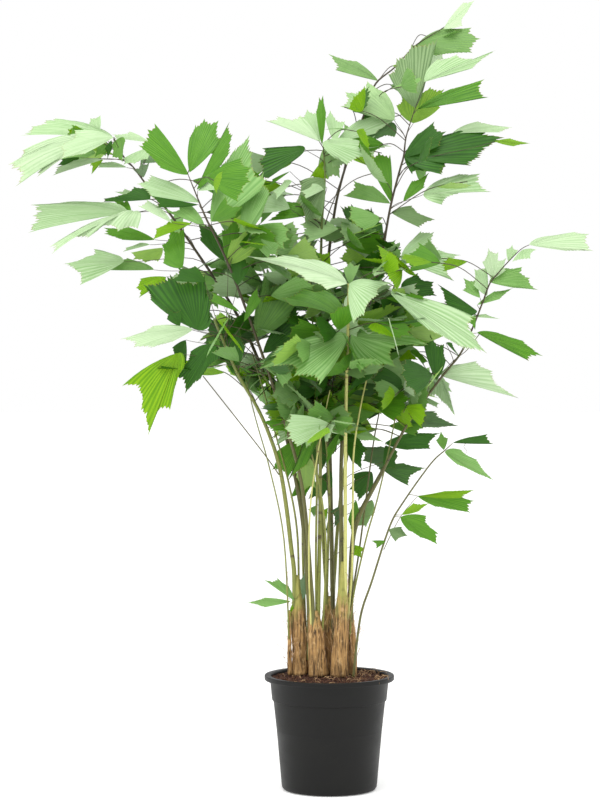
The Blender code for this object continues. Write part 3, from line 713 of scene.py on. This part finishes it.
innerLowLeaflets = [
    leaf("mid", (314, 424), (298, 411), (280, 414), (262, 422), (271, 431), (292, 432)),
    leaf("mid", (297, 377), (280, 412), (285, 439), (293, 418), (301, 394)),
    leaf("mid", (341, 404), (301, 446), (288, 481), (306, 466), (319, 440), via=(318, 418)),
    leaf("bright", (305, 455), (318, 470), (316, 489), (304, 492), (296, 478)),
    leaf("mid", (347, 427), (366, 428), (384, 442), (362, 441)),
    leaf("mid", (341, 430), (334, 452), (325, 468), (326, 450)),
    leaf("deep", (317, 392), (300, 384), (291, 392), (302, 401)),
    leaf("deep", (330, 470), (312, 486), (308, 500), (322, 498), (332, 488), deep=0.03),
    leaf("mid", (312, 470), (296, 480), (290, 498), (304, 500), (312, 486), deep=0.05),
    leaf("mid", (318, 505), (308, 510), (314, 518), deep=0.02),
    leaf("bright", (328, 508), (322, 512), (326, 523)),
    leaf("deep", (345, 505), (330, 512), (334, 528), (342, 522), deep=0.02),
    leaf("deep", (330, 515), (326, 530), (329, 546), (332, 530)),
    leaf("mid", (356, 500), (348, 520), (352, 537), (360, 520), deep=0.02),
    leaf("bright", (353, 545), (365, 549), (362, 559), (354, 556)),
    leaf("deep", (345, 440), (352, 462), (362, 470), (368, 450), (360, 436), deep=0.06),
    leaf("mid", (300, 440), (276, 452), (272, 470), (288, 478), (300, 462), deep=0.05),
    leaf("deep", (335, 430), (312, 446), (305, 466), (322, 470), (336, 452), deep=0.07),
    leaf("mid", (372, 500), (356, 512), (352, 530), (366, 528), (374, 514), deep=0.05),
]
backRightLeaflets = [
    leaf("deep", (372, 472), (352, 475), (349, 490), (358, 502), (372, 490)),
    leaf("deep", (398, 456), (380, 446), (358, 446), (362, 461), (380, 472)),
]
# Fronds, by packed stalk: the pixels that the midrib runs on through, the depth it ends at, and its finish
fronds = {
    "far_left": dict(onwards=[(134, 168), (125, 158), (114, 140)], endDepth=0.05, finish="dark",
                     leaves=farLeftLeaflets),
    "dark_left": dict(onwards=[(188, 174)], endDepth=-0.14, finish="dark", leaves=darkLeftLeaflets),
    "low_left": dict(onwards=[], endDepth=-0.14, finish="olive", leaves=lowLeftLeaflets),
    "centre": dict(onwards=[(325, 182), (323, 145)], endDepth=0.0, finish="olive", leaves=centreLeaflets),
    "front": dict(onwards=[(348, 284)], endDepth=-0.27, finish="lime", leaves=frontLeaflets),
    "tall_right": dict(onwards=[(406, 137), (414, 112)], endDepth=0.03, finish="dark",
                       leaves=tallRightLeaflets),
    "right": dict(onwards=[(499, 272), (506, 264), (520, 250), (529, 245)], endDepth=-0.08, finish="dark",
                  leaves=rightLeaflets),
    "inner_right": dict(onwards=[], endDepth=0.085, finish="dark", leaves=innerRightLeaflets),
    "low_right": dict(onwards=[(453, 443)], endDepth=-0.08, finish="dark", leaves=lowRightLeaflets),
    "top_back": dict(onwards=[(395, 68), (416, 46), (442, 30)], endDepth=0.15, finish="dark",
                     leaves=topBackLeaflets),
    "inner_low": dict(onwards=[], endDepth=-0.06, finish="olive", leaves=innerLowLeaflets),
    "thin_left": dict(onwards=[], endDepth=-0.16, finish="dark", leaves=[]),
    "back_left": dict(onwards=[], endDepth=0.32, finish="olive", leaves=[]),
    "back_right": dict(onwards=[], endDepth=0.34, finish="olive", leaves=backRightLeaflets),
}
pupShape = dict(depth=-0.01, firstNumber=2001)
pupLeaflets = [
    leaf("mint", (294, 601), (264, 580), (277, 578), (288, 586)),
    leaf("mint", (291, 602), (264, 598), (247, 603), (264, 608)),
    leaf("bright", (292, 605), (287, 622), (291, 636), (297, 620)),
    leaf("deep", (303, 600), (300, 580), (306, 570), (308, 588)),
]

leafShape = dict(
    rows=(0.0, 0.10, 0.24, 0.40, 0.56, 0.72, 0.87, 1.0), columnStep=0.0048, full=0.86, belly=0.07,
    notch=0.20, notchPerAngle=0.30, notchSpread=(0.4, 1.2), tooth=0.070, toothLong=(0.3, 1.1),
    toothShort=(0.0, 0.25), bulge=0.07, pleat=0.010, mapWidth=0.98, flat=1e-9,
    tilts=dict(pale=0.7, mint=0.5, mid=0.25, deep=0.1, bright=-0.3, grey=0.4), tiltSpread=0.2,
    leanSpread=0.025,
)


# The torn end between the longest points: notches between them and teeth along them
def tornEnd(base, tips, dice):
    ends = []
    shares = []
    for i in range(len(tips) - 1):
        start = tips[i] - base
        end = tips[i + 1] - base
        steps = max(2, 2 * round((tips[i + 1] - tips[i]).length / leafShape["columnStep"] / 2.0))
        deepest = min(leafShape["notch"], leafShape["notchPerAngle"] * start.angle(end, 0.0))
        notch = deepest * dice.uniform(*leafShape["notchSpread"])
        for step in range(steps):
            share = step / steps
            reach = 1.0 - notch * math.sin(math.pi * share)
            if step:
                lengths = leafShape["toothLong"] if step % 2 else leafShape["toothShort"]
                reach -= leafShape["tooth"] * dice.uniform(*lengths)
            ends.append(base + start.lerp(end, share) * reach)
            shares.append(i + share)
    return ends + [tips[-1]], shares + [len(tips) - 1]


# One leaflet: ribs fan out from its foot to its torn end, folded along the ribs and bulging between the ends
def addLeaf(sheaf, tone, base, tips, number, arch=0.0, via=None):
    ends, shares = tornEnd(base, tips, random.Random(number * 7 + 1))
    middle = sum(ends, Vector()) / len(ends)
    face = (tips[0] - base).cross(tips[-1] - base)
    if face.length < leafShape["flat"]:
        face = Vector((0.0, -1.0, 0.0))
    face.normalize()
    if face.y > 0.0:
        face.negate()
    bend = face * leafShape["bulge"] * (middle - base).length + Vector((0.0, 0.0, arch))
    if via is not None:
        bend += via - (base + middle) / 2.0
    rows = []
    maps = []
    for v in leafShape["rows"]:
        width = v ** leafShape["full"] + leafShape["belly"] * math.sin(math.pi * v)
        row = []
        for j, end in enumerate(ends):
            point = base + (middle - base) * v + (end - middle) * width + bend * 2.0 * v * (1.0 - v)
            fold = leafShape["pleat"] * (end - base).length * v * (0.5 if j % 2 else -0.5)
            row.append(point + face * fold)
        rows.append(row)
        maps.append([(number + leafShape["mapWidth"] * share / (len(tips) - 1), v) for share in shares])
    sheaf.grid(rows, maps, toneNames.index(tone))


# Where a leaflet's points lie in space: its torn end leans and tilts out of the picture's plane
def placeTips(values, base):
    furthest = max(math.dist(values["base"], pixel) for pixel in values["rim"])
    dice = random.Random(str(values["rim"]))
    lean = dice.uniform(-leafShape["leanSpread"], leafShape["leanSpread"])
    turn = dice.uniform(-leafShape["tiltSpread"], leafShape["tiltSpread"])
    tilt = values.get("tilt", leafShape["tilts"][values["tone"]] + turn)
    tips = []
    for pixel in values["rim"]:
        share = math.dist(values["base"], pixel) / furthest
        rise = (values["base"][1] - pixel[1]) / photo["pixelsPerMetre"]
        tips.append(seen(pixel, base.y - lean * share + tilt * rise))
    return tips


# Twigs: a foot within snap pixels of the midrib needs none; startShare is how far down one starts
twigShape = dict(snap=3.0, deepest=0.008, startShare=0.75, radius=0.0011, tipRadius=0.0006, sides=6,
                 points=9, bend=0.25, reachBack=0.35)


# The foot of a leaflet: on the midrib, or at the end of a twig that leaves the midrib a little lower down
def footOf(twigs, path, values):
    gaps = [math.dist(pixelOf(point), values["base"]) for point in path]
    best = min(range(len(path)), key=gaps.__getitem__)
    deep = values.get("deep", 0.0)
    base = seen(values["base"], path[best].y + deep)
    if gaps[best] > twigShape["snap"] or abs(deep) > twigShape["deepest"]:
        reach = (base - path[best]).length * twigShape["startShare"]
        foot = best
        while foot > 0 and (path[foot] - path[best]).length < reach:
            foot -= 1
        start = path[foot]
        heading = (path[min(foot + 1, len(path) - 1)] - path[max(foot - 1, 0)]).normalized()
        count = twigShape["points"]
        route = interpolate_bezier(start, start + heading * (base - start).length * twigShape["bend"],
                                   base.lerp(start, twigShape["reachBack"]), base, count)
        thinning = (twigShape["tipRadius"] - twigShape["radius"]) / (count - 1)
        addTube(twigs, route, [twigShape["radius"] + thinning * i for i in range(count)], twigShape["sides"])
    return base


# Whether a pixel lies inside an outline of pixels
def inside(pixel, outline):
    x, y = pixel
    hit = False
    for (ax, ay), (bx, by) in zip(outline, outline[1:] + outline[:1]):
        if (ay > y) != (by > y) and x < (bx - ax) * (y - ay) / (by - ay) + ax:
            hit = not hit
    return hit


# Limbs: the corners per ring of a packed stalk and stem, and how deep inside a sheath a stalk starts
limbSettings = dict(stalkSides=8, stemSides=10, steps=5, roundness=14, tipShare=0.6,
                    sheathHeights=(0.35, 0.63), sheathDepth=0.13)


# A stalk's path and radii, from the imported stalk's foot to the tip that the photograph shows
def limbOf(name, values):
    centres, radii = packedLimb("stalk_" + name, limbSettings["stalkSides"])
    low, high = limbSettings["sheathHeights"]
    if low < centres[0].z < high:
        centres.insert(0, centres[0] - Vector((0.0, 0.0, limbSettings["sheathDepth"])))
        radii.insert(0, radii[0])
    startDepth = centres[-1].y
    endRadius = radii[-1]
    for i, pixel in enumerate(values["onwards"]):
        share = (i + 1) / len(values["onwards"])
        centres.append(seen(pixel, startDepth + (values["endDepth"] - startDepth) * share))
        radii.append(endRadius * (1.0 - limbSettings["tipShare"] * share))
    return fineLimb(centres, radii, limbSettings["steps"])


# Every piece rides on the one body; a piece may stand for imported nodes
def finishPiece(piece, slot, *nodes):
    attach(piece, "root")
    if nodes:
        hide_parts(*nodes)


# Sheathed stems: a tube with relief and loose hairs; a grain is the relief's pitch round the stem and up it
stemShape = dict(
    seed=5, sides=44, step=0.006, fewest=12, taper=0.45, taperFrom=0.45, slim=0.97,
    fibre=0.07, fibreGrain=(5.5, 14.0), patch=0.13, patchGrain=(1.6, 22.0), flap=0.22, flapGrain=(1.1, 9.0),
)
hairShape = dict(count=16, radius=0.0005, points=9, sides=5, foot=(0.05, 0.8), length=(0.03, 0.10), sunk=0.9,
                 drift=0.02, rise=(0.4, 1.0), spread=(0.0, 0.010), curl=0.012)


def makeStem(node, finish, hairs, dice):
    centres, radii = packedLimb(node, limbSettings["stemSides"])
    bottom = centres[0]
    top = centres[-1]
    height = top.z - bottom.z
    count = max(stemShape["fewest"], int(height / stemShape["step"]))
    path = [bottom.lerp(top, i / count) for i in range(count + 1)]
    width = []
    for point in path:
        share = (point.z - bottom.z) / height
        past = max(0.0, (share - stemShape["taperFrom"]) / (1.0 - stemShape["taperFrom"]))
        width.append((radii[0] + (radii[-1] - radii[0]) * share) * (1.0 - stemShape["taper"] * past ** 2))
    salt = dice.uniform(0.0, 9.0)

    def grain(name, turn, travelled, first, second):
        around, upwards = stemShape[name]
        return noise.noise(turn * around + Vector((first, second, travelled * upwards)))

    def relief(angle, travelled):
        turn = Vector((math.cos(angle), math.sin(angle), 0.0))
        fibre = grain("fibreGrain", turn, travelled, salt, 0.0)
        patch = grain("patchGrain", turn, travelled, 0.0, salt)
        flap = max(0.0, grain("flapGrain", turn, travelled, salt, salt))
        return (stemShape["slim"] + stemShape["fibre"] * fibre + stemShape["patch"] * patch
                + stemShape["flap"] * flap)

    stem = Sheaf()
    addTube(stem, path, width, stemShape["sides"], 0, relief)
    finishPiece(stem.build(node.replace("_", "."), [finish]), "sheath", node)
    drift = hairShape["drift"]
    points = hairShape["points"]
    for _ in range(hairShape["count"]):
        angle = dice.uniform(0.0, 2.0 * math.pi)
        low = dice.uniform(*hairShape["foot"]) * height
        length = dice.uniform(*hairShape["length"])
        out = Vector((math.cos(angle), math.sin(angle), 0.0))
        start = bottom.lerp(top, low / height) + out * width[0] * hairShape["sunk"]
        turn = Vector((dice.uniform(-drift, drift), dice.uniform(-drift, drift),
                       length * dice.uniform(*hairShape["rise"])))
        end = start + turn + out * dice.uniform(*hairShape["spread"])
        route = interpolate_bezier(start, start + Vector((0.0, 0.0, length * 0.5)),
                                   end + out * hairShape["curl"], end, points)
        addTube(hairs, route, [hairShape["radius"]] * points, hairShape["sides"])


# Pot: the foot's disc is extruded up the outside, over the rim and down the inside, by radius and height
potShape = dict(
    sides=96, smoothBelow=32.0,
    rings=((0.1150, 0.0000), (0.1210, 0.0015), (0.1245, 0.0060), (0.1255, 0.0130), (0.1450, 0.2300),
           (0.1465, 0.2325), (0.1500, 0.2345), (0.1506, 0.2370), (0.1553, 0.2850), (0.1560, 0.2868),
           (0.1688, 0.2872), (0.1700, 0.2890), (0.1700, 0.2978), (0.1688, 0.2996), (0.1660, 0.3000),
           (0.1560, 0.2990), (0.1535, 0.2960), (0.1470, 0.2350), (0.1220, 0.0060)),
)


def makePot(finish):
    deselect()
    radius, height = potShape["rings"][0]
    bpy.ops.mesh.primitive_circle_add(vertices=potShape["sides"], radius=radius, fill_type="NGON",
                                      location=(0.0, 0.0, height))
    pot = bpy.context.object
    pot.name = "nurseryPot"
    bpy.ops.object.mode_set(mode="EDIT")
    bpy.ops.mesh.select_all(action="SELECT")
    for nextRadius, nextHeight in potShape["rings"][1:]:
        bpy.ops.mesh.extrude_region_move(TRANSFORM_OT_translate={"value": (0.0, 0.0, nextHeight - height)})
        growth = nextRadius / radius
        bpy.ops.transform.resize(value=(growth, growth, 1.0), center_override=(0.0, 0.0, nextHeight))
        radius, height = nextRadius, nextHeight
    bpy.ops.mesh.select_all(action="SELECT")
    bpy.ops.mesh.normals_make_consistent(inside=False)
    bpy.ops.object.mode_set(mode="OBJECT")
    bpy.ops.object.transform_apply()
    bpy.ops.object.shade_smooth_by_angle(angle=math.radians(potShape["smoothBelow"]))
    pot.data.materials.clear()
    pot.data.materials.append(finish)
    finishPiece(pot, "pot_plastic", "pot")


# Soil: an uneven crust with chips and straw-like roots on it; lumps are pitch, layer of noise and share
soilShape = dict(radius=0.1530, edge=0.2895, rise=0.0085, floor=0.25, floorShare=0.985, rings=44, sides=150,
                 lump=0.0035, lumps=((60.0, 0.0, 1.0), (190.0, 3.0, 0.6)), seed=77)
chipShape = dict(count=1500, size=(0.0014, 0.0042), usualShare=0.9, big=1.7, sunk=0.35, corners=5,
                 angles=(0.2, 1.4, 2.8, 3.9, 5.2), length=(0.6, 1.3), width=0.7, thickness=(0.2, 0.5))
strawShape = dict(count=95, side=(-0.4, 1.5), out=(0.35, 0.99), length=(0.008, 0.030), rise=(-0.05, 0.3),
                  lean=0.3, hump=(0.3, 0.9), endHump=0.6, radius=(0.0004, 0.0010), thinning=0.07, points=9,
                  sides=5)


def soilHeight(x, y):
    share = min(1.0, math.hypot(x, y) / soilShape["radius"])
    lumps = sum(noise.noise(Vector((x * pitch, y * pitch, layer))) * part
                for pitch, layer, part in soilShape["lumps"])
    rise = soilShape["rise"] * (1.0 - share ** 3)
    return soilShape["edge"] + rise + soilShape["lump"] * lumps * (1.0 - 0.5 * share)


# The point on the soil at an angle and a distance from the middle
def onSoil(angle, radius):
    x = radius * math.cos(angle)
    y = radius * math.sin(angle)
    return Vector((x, y, soilHeight(x, y)))


def makeCrust(finish):
    sides = soilShape["sides"]
    rows = []
    for ring in range(soilShape["rings"] + 1):
        radius = soilShape["radius"] * ring / soilShape["rings"]
        rows.append([onSoil(2.0 * math.pi * k / sides, radius) for k in range(sides)])
    inward = soilShape["floorShare"]
    rows.append([Vector((p.x * inward, p.y * inward, soilShape["floor"])) for p in rows[-1]])
    rows.append([Vector((0.0, 0.0, soilShape["floor"]))] * sides)
    maps = [[(k / sides, i / len(rows)) for k in range(sides + 1)] for i in range(len(rows))]
    crust = Sheaf()
    crust.grid(rows[::-1], maps[::-1], 0, wrapped=True)
    finishPiece(crust.build("soilCrust", [finish]), "soil", "soil")


def makeChips(finish, dice):
    chips = Sheaf()
    corners = chipShape["corners"]
    maps = [[(c / corners, r / 2.0) for c in range(corners + 1)] for r in range(3)]
    for _ in range(chipShape["count"]):
        angle = dice.uniform(0.0, 2.0 * math.pi)
        radius = soilShape["radius"] * math.sqrt(dice.random())
        size = dice.uniform(*chipShape["size"])
        if dice.random() >= chipShape["usualShare"]:
            size *= chipShape["big"]
        centre = onSoil(angle, radius) + Vector((0.0, 0.0, size * chipShape["sunk"]))
        across = Vector([dice.gauss(0.0, 1.0) for _ in range(3)]).normalized()
        other = across.orthogonal().normalized()
        third = across.cross(other)
        ring = []
        for t in chipShape["angles"]:
            long = across * size * dice.uniform(*chipShape["length"]) * math.cos(t)
            ring.append(centre + long + other * size * chipShape["width"] * math.sin(t))
        lift = third * size * dice.uniform(*chipShape["thickness"])
        chips.grid([[centre - lift] * corners, ring, [centre + lift] * corners], maps, 0, wrapped=True)
    finishPiece(chips.build("soilChips", [finish]), "soil", "soil")


def makeStraws(finish, dice):
    straws = Sheaf()
    points = strawShape["points"]
    lean = strawShape["lean"]
    for _ in range(strawShape["count"]):
        angle = dice.gauss(*strawShape["side"])
        start = onSoil(angle, soilShape["radius"] * dice.uniform(*strawShape["out"]))
        heading = dice.uniform(0.0, 2.0 * math.pi)
        length = dice.uniform(*strawShape["length"])
        ahead = Vector((math.cos(heading), math.sin(heading), dice.uniform(*strawShape["rise"])))
        end = start + ahead * length
        hump = Vector((dice.uniform(-lean, lean), dice.uniform(-lean, lean),
                       dice.uniform(*strawShape["hump"]))) * length
        thick = dice.uniform(*strawShape["radius"])
        route = interpolate_bezier(start, start + hump, end + hump * strawShape["endHump"], end, points)
        radii = [thick * (1.0 - strawShape["thinning"] * i) for i in range(points)]
        addTube(straws, route, radii, strawShape["sides"])
    finishPiece(straws.build("strawRoots", [finish]), "soil")


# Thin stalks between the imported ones, as the pixels they pass through, with their depth and radius
thinStalks = (
    dict(route=((300, 650), (299, 590), (297, 530), (288, 480), (273, 425), (262, 385), (252, 352)),
         depth=0.02, radius=0.0032, finish="olive"),
    dict(route=((306, 640), (303, 560), (302, 505), (296, 450), (287, 400), (276, 356)),
         depth=0.05, radius=0.0036, finish="olive"),
    dict(route=((317, 650), (316, 560), (317, 480), (317, 400), (313, 330), (311, 280)),
         depth=-0.03, radius=0.0034, finish="olive"),
    dict(route=((333, 640), (331, 580), (330, 520), (327, 470), (330, 410), (337, 350)),
         depth=0.03, radius=0.0024, finish="dark"),
    dict(route=((338, 640), (340, 560), (341, 490), (345, 430), (355, 380), (366, 330)),
         depth=0.06, radius=0.0034, finish="olive"),
    dict(route=((346, 640), (352, 570), (353, 500), (354, 450), (362, 400), (374, 350)),
         depth=-0.05, radius=0.0034, finish="lime"),
    dict(route=((350, 640), (353, 600), (366, 540), (376, 505), (384, 472), (393, 430), (398, 400)),
         depth=0.00, radius=0.0026, finish="olive"),
    dict(route=((289, 640), (284, 540), (270, 470), (256, 420), (246, 380)),
         depth=-0.04, radius=0.0022, finish="olive"),
    dict(route=((322, 640), (326, 560), (322, 500), (308, 440), (296, 400), (285, 370)),
         depth=-0.06, radius=0.0030, finish="olive"),
    dict(route=((312, 640), (309, 570), (311, 500), (322, 430), (330, 390)),
         depth=-0.08, radius=0.0026, finish="lime"),
    dict(route=((345, 640), (358, 560), (366, 500), (374, 440), (382, 400)),
         depth=0.07, radius=0.0028, finish="dark"),
    dict(route=((325, 225), (330, 210), (336, 195), (345, 167)), depth=0.02, radius=0.0016, finish="dark"),
    dict(route=((384, 550), (391, 535), (402, 515), (418, 496)), depth=-0.07, radius=0.0012, finish="dark"),
    dict(route=((480, 333), (467, 350), (452, 362), (436, 380)), depth=-0.05, radius=0.0011, finish="dark"),
    dict(route=((466, 443), (464, 447), (467, 451), (465, 455)), depth=-0.08, radius=0.0007, finish="dark"),
    dict(route=((306, 590), (301, 592), (297, 598), (291, 604)), depth=-0.01, radius=0.0012, finish="olive"),
    dict(route=((364, 516), (369, 516), (376, 512), (384, 507)), depth=-0.02, radius=0.0005, finish="dark"),
)
thinShape = dict(startDepth=0.35, depthStep=0.2, tipShare=0.45, steps=6, sides=10)


def makeThinStalks(finishes):
    limbs = Sheaf()
    names = list(finishes)
    for values in thinStalks:
        last = len(values["route"]) - 1
        points = []
        radii = []
        for i, pixel in enumerate(values["route"]):
            outward = min(1.0, thinShape["startDepth"] + thinShape["depthStep"] * i)
            points.append(seen(pixel, values["depth"] * outward))
            radii.append(values["radius"] * (1.0 - thinShape["tipShare"] * i / last))
        path, fine = fineLimb(points, radii, thinShape["steps"])
        addTube(limbs, path, fine, thinShape["sides"], names.index(values["finish"]))
    finishPiece(limbs.build("thinStalks", [finishes[name] for name in names]), "stalk")


# The crown's inside and back: pinnae grow from each stalk by a seeded rule, where the photograph shows
# leaves. The core's outline and the gaps' centres and radii are in pixels.
crown = dict(
    core=[(172, 300), (196, 262), (232, 240), (262, 222), (300, 205), (335, 200), (385, 215), (424, 285),
          (440, 345), (432, 400), (398, 470), (352, 500), (292, 498), (266, 430), (244, 388), (200, 350)],
    gaps=(((336, 259), 11), ((260, 350), 13), ((277, 322), 6), ((235, 308), 7), ((400, 280), 9),
          ((455, 318), 16), ((420, 358), 12), ((382, 432), 16), ((308, 326), 5)),
    bare=("thin_left",), margin=0.005, seed=4711, every=0.030, tries=6, lowest=0.92,
    # The tones deal lit and shaded leaf copies at random: painted highlight, painted shade and painted back
    # light
    tones=("deep", "mid", "mid", "mint", "mid", "bright", "mint", "deep", "bright", "pale"),
)
pinnaShape = dict(
    rise=(-0.1, 0.5), length=(0.10, 0.24), arch=0.14, points=9, spots=(4, 5, 6, 7, 8), side=0.9, endSide=0.1,
    droop=(-0.5, 0.2), reach=(0.07, 0.135), fan=(0.35, 0.62), roll=0.8, upright=0.45,
    turns=(-1.0, -0.4, 0.15, 0.6, 1.0), ragged=0.25, twigRadius=0.0012, twigSides=6,
)


# Whether the photograph shows leaves where a point would be seen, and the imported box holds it
def allowed(point, outlines):
    for axis in range(3):
        if not cadBox[0][axis] - crown["margin"] < point[axis] < cadBox[1][axis] + crown["margin"]:
            return False
    pixel = pixelOf(point)
    if any(math.dist(pixel, centre) < radius for centre, radius in crown["gaps"]):
        return False
    return any(inside(pixel, outline) for outline in outlines)


# One leaflet of a pinna, at a spot of its twig: where its torn end would reach
def pinnaTips(dice, foot, out, side):
    droop = Vector((0.0, 0.0, dice.uniform(*pinnaShape["droop"])))
    heading = (out + side + droop).normalized()
    reach = dice.uniform(*pinnaShape["reach"])
    fan = dice.uniform(*pinnaShape["fan"])
    roll = pinnaShape["roll"]
    upright = Vector((dice.gauss(0.0, roll), dice.gauss(0.0, roll), pinnaShape["upright"]))
    across = heading.cross(upright).normalized()
    tips = []
    for turn in pinnaShape["turns"]:
        ray = heading * math.cos(turn * fan) + across * math.sin(turn * fan)
        tips.append(foot + ray * reach * (1.0 - pinnaShape["ragged"] * abs(turn) * dice.random()))
    return tips


# A pinna from a point of a stalk; it returns how many leaflets found room
def growPinna(dice, leaves, twigs, start, number, outlines):
    angle = dice.uniform(0.0, 2.0 * math.pi)
    out = Vector((math.cos(angle), math.sin(angle), dice.uniform(*pinnaShape["rise"]))).normalized()
    length = dice.uniform(*pinnaShape["length"])
    end = start + out * length
    if not allowed(end, outlines):
        return 0
    middle = start + out * length * 0.5 + Vector((0.0, 0.0, length * pinnaShape["arch"]))
    points = pinnaShape["points"]
    route = interpolate_bezier(start, middle, middle, end, points)
    plane = out.cross(Vector((0.0, 0.0, 1.0))).normalized()
    kept = 0
    for k, spot in enumerate(pinnaShape["spots"]):
        side = plane * (pinnaShape["side"] if k % 2 else -pinnaShape["side"])
        if spot == pinnaShape["spots"][-1]:
            side = plane * pinnaShape["endSide"]
        foot = route[spot]
        tips = pinnaTips(dice, foot, out, side)
        if all(allowed(tip, outlines) for tip in tips) and allowed(foot.lerp(tips[2], 0.5), outlines):
            kept += 1
            addLeaf(leaves, dice.choice(crown["tones"]), foot, tips, number + kept)
    if kept:
        addTube(twigs, route, [pinnaShape["twigRadius"]] * points, pinnaShape["twigSides"])
    return kept


def growCrown(paths, twigs, finishes, placed):
    dice = random.Random(crown["seed"])
    outlines = [crown["core"]]
    for values in fronds.values():
        outlines += [[item["base"], *item["rim"]] for item in values["leaves"]]
    leaves = Sheaf()
    grown = 0
    for name, path in paths.items():
        if name in crown["bare"]:
            continue
        travelled = 0.0
        for i in range(1, len(path)):
            travelled += (path[i] - path[i - 1]).length
            if travelled < crown["every"] or path[i].z < crown["lowest"]:
                continue
            travelled = 0.0
            for _ in range(crown["tries"]):
                kept = growPinna(dice, leaves, twigs, path[i], placed + grown, outlines)
                grown += kept
                if kept:
                    break
    finishPiece(leaves.build("leaflets.crown", finishes), "leaf")
    print("crown leaflets", grown)


def makeFronds(leafFinishes, stalkFinishes, twigs):
    paths = {}
    number = 0
    for name, values in fronds.items():
        path, radii = limbOf(name, values)
        paths[name] = path
        stalk = Sheaf()
        addTube(stalk, path, radii, limbSettings["roundness"])
        piece = stalk.build("stalk." + name, [stalkFinishes[values["finish"]]])
        finishPiece(piece, "stalk", "stalk_" + name)
        leaves = Sheaf()
        for item in values["leaves"]:
            number += 1
            base = footOf(twigs, path, item)
            via = seen(item["via"], base.y) if "via" in item else None
            addLeaf(leaves, item["tone"], base, placeTips(item, base), number, item.get("arch", 0.0), via)
        blades = [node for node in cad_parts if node.startswith("blade_" + name + "_")]
        if leaves.points:
            finishPiece(leaves.build("leaflets." + name, leafFinishes), "leaf", *blades)
        else:
            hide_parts(*blades)
    return paths, number


def makePup(finishes, placed):
    pup = Sheaf()
    for i, item in enumerate(pupLeaflets):
        base = seen(item["base"], pupShape["depth"])
        addLeaf(pup, item["tone"], base, placeTips(item, base), pupShape["firstNumber"] + placed + i)
    finishPiece(pup.build("leaflets.pup", finishes), "leaf", "blade_pup")


def makeStems(finish, straw):
    hairs = Sheaf()
    dice = random.Random(stemShape["seed"])
    for node in [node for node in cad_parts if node.startswith("stem_")]:
        makeStem(node, finish, hairs, dice)
    finishPiece(hairs.build("sheathHairs", [straw]), "sheath")


def main():
    makeStage()
    print("stage ready")
    leafFinishes = [leafFinish("leaf" + name.capitalize(), leafTones[name]) for name in toneNames]
    stalkFinishes = {name: stalkFinish("stalk" + name.capitalize(), stalkTones[name]) for name in stalkTones}
    twigs = Sheaf()
    paths, placed = makeFronds(leafFinishes, stalkFinishes, twigs)
    print("fronds ready", placed)
    growCrown(paths, twigs, leafFinishes, placed)
    makePup(leafFinishes, placed)
    makeThinStalks(stalkFinishes)
    sheath = sheathFinish()
    straw = strawFinish()
    makeStems(sheath, straw)
    finishPiece(twigs.build("twigs", [stalkFinishes["dark"]]), "stalk")
    print("stalks and stems ready")
    makePot(potFinish())
    soil = soilFinish()
    dice = random.Random(soilShape["seed"])
    makeCrust(soil)
    makeChips(soil, dice)
    makeStraws(straw, dice)
    print("pot and soil ready")


main()
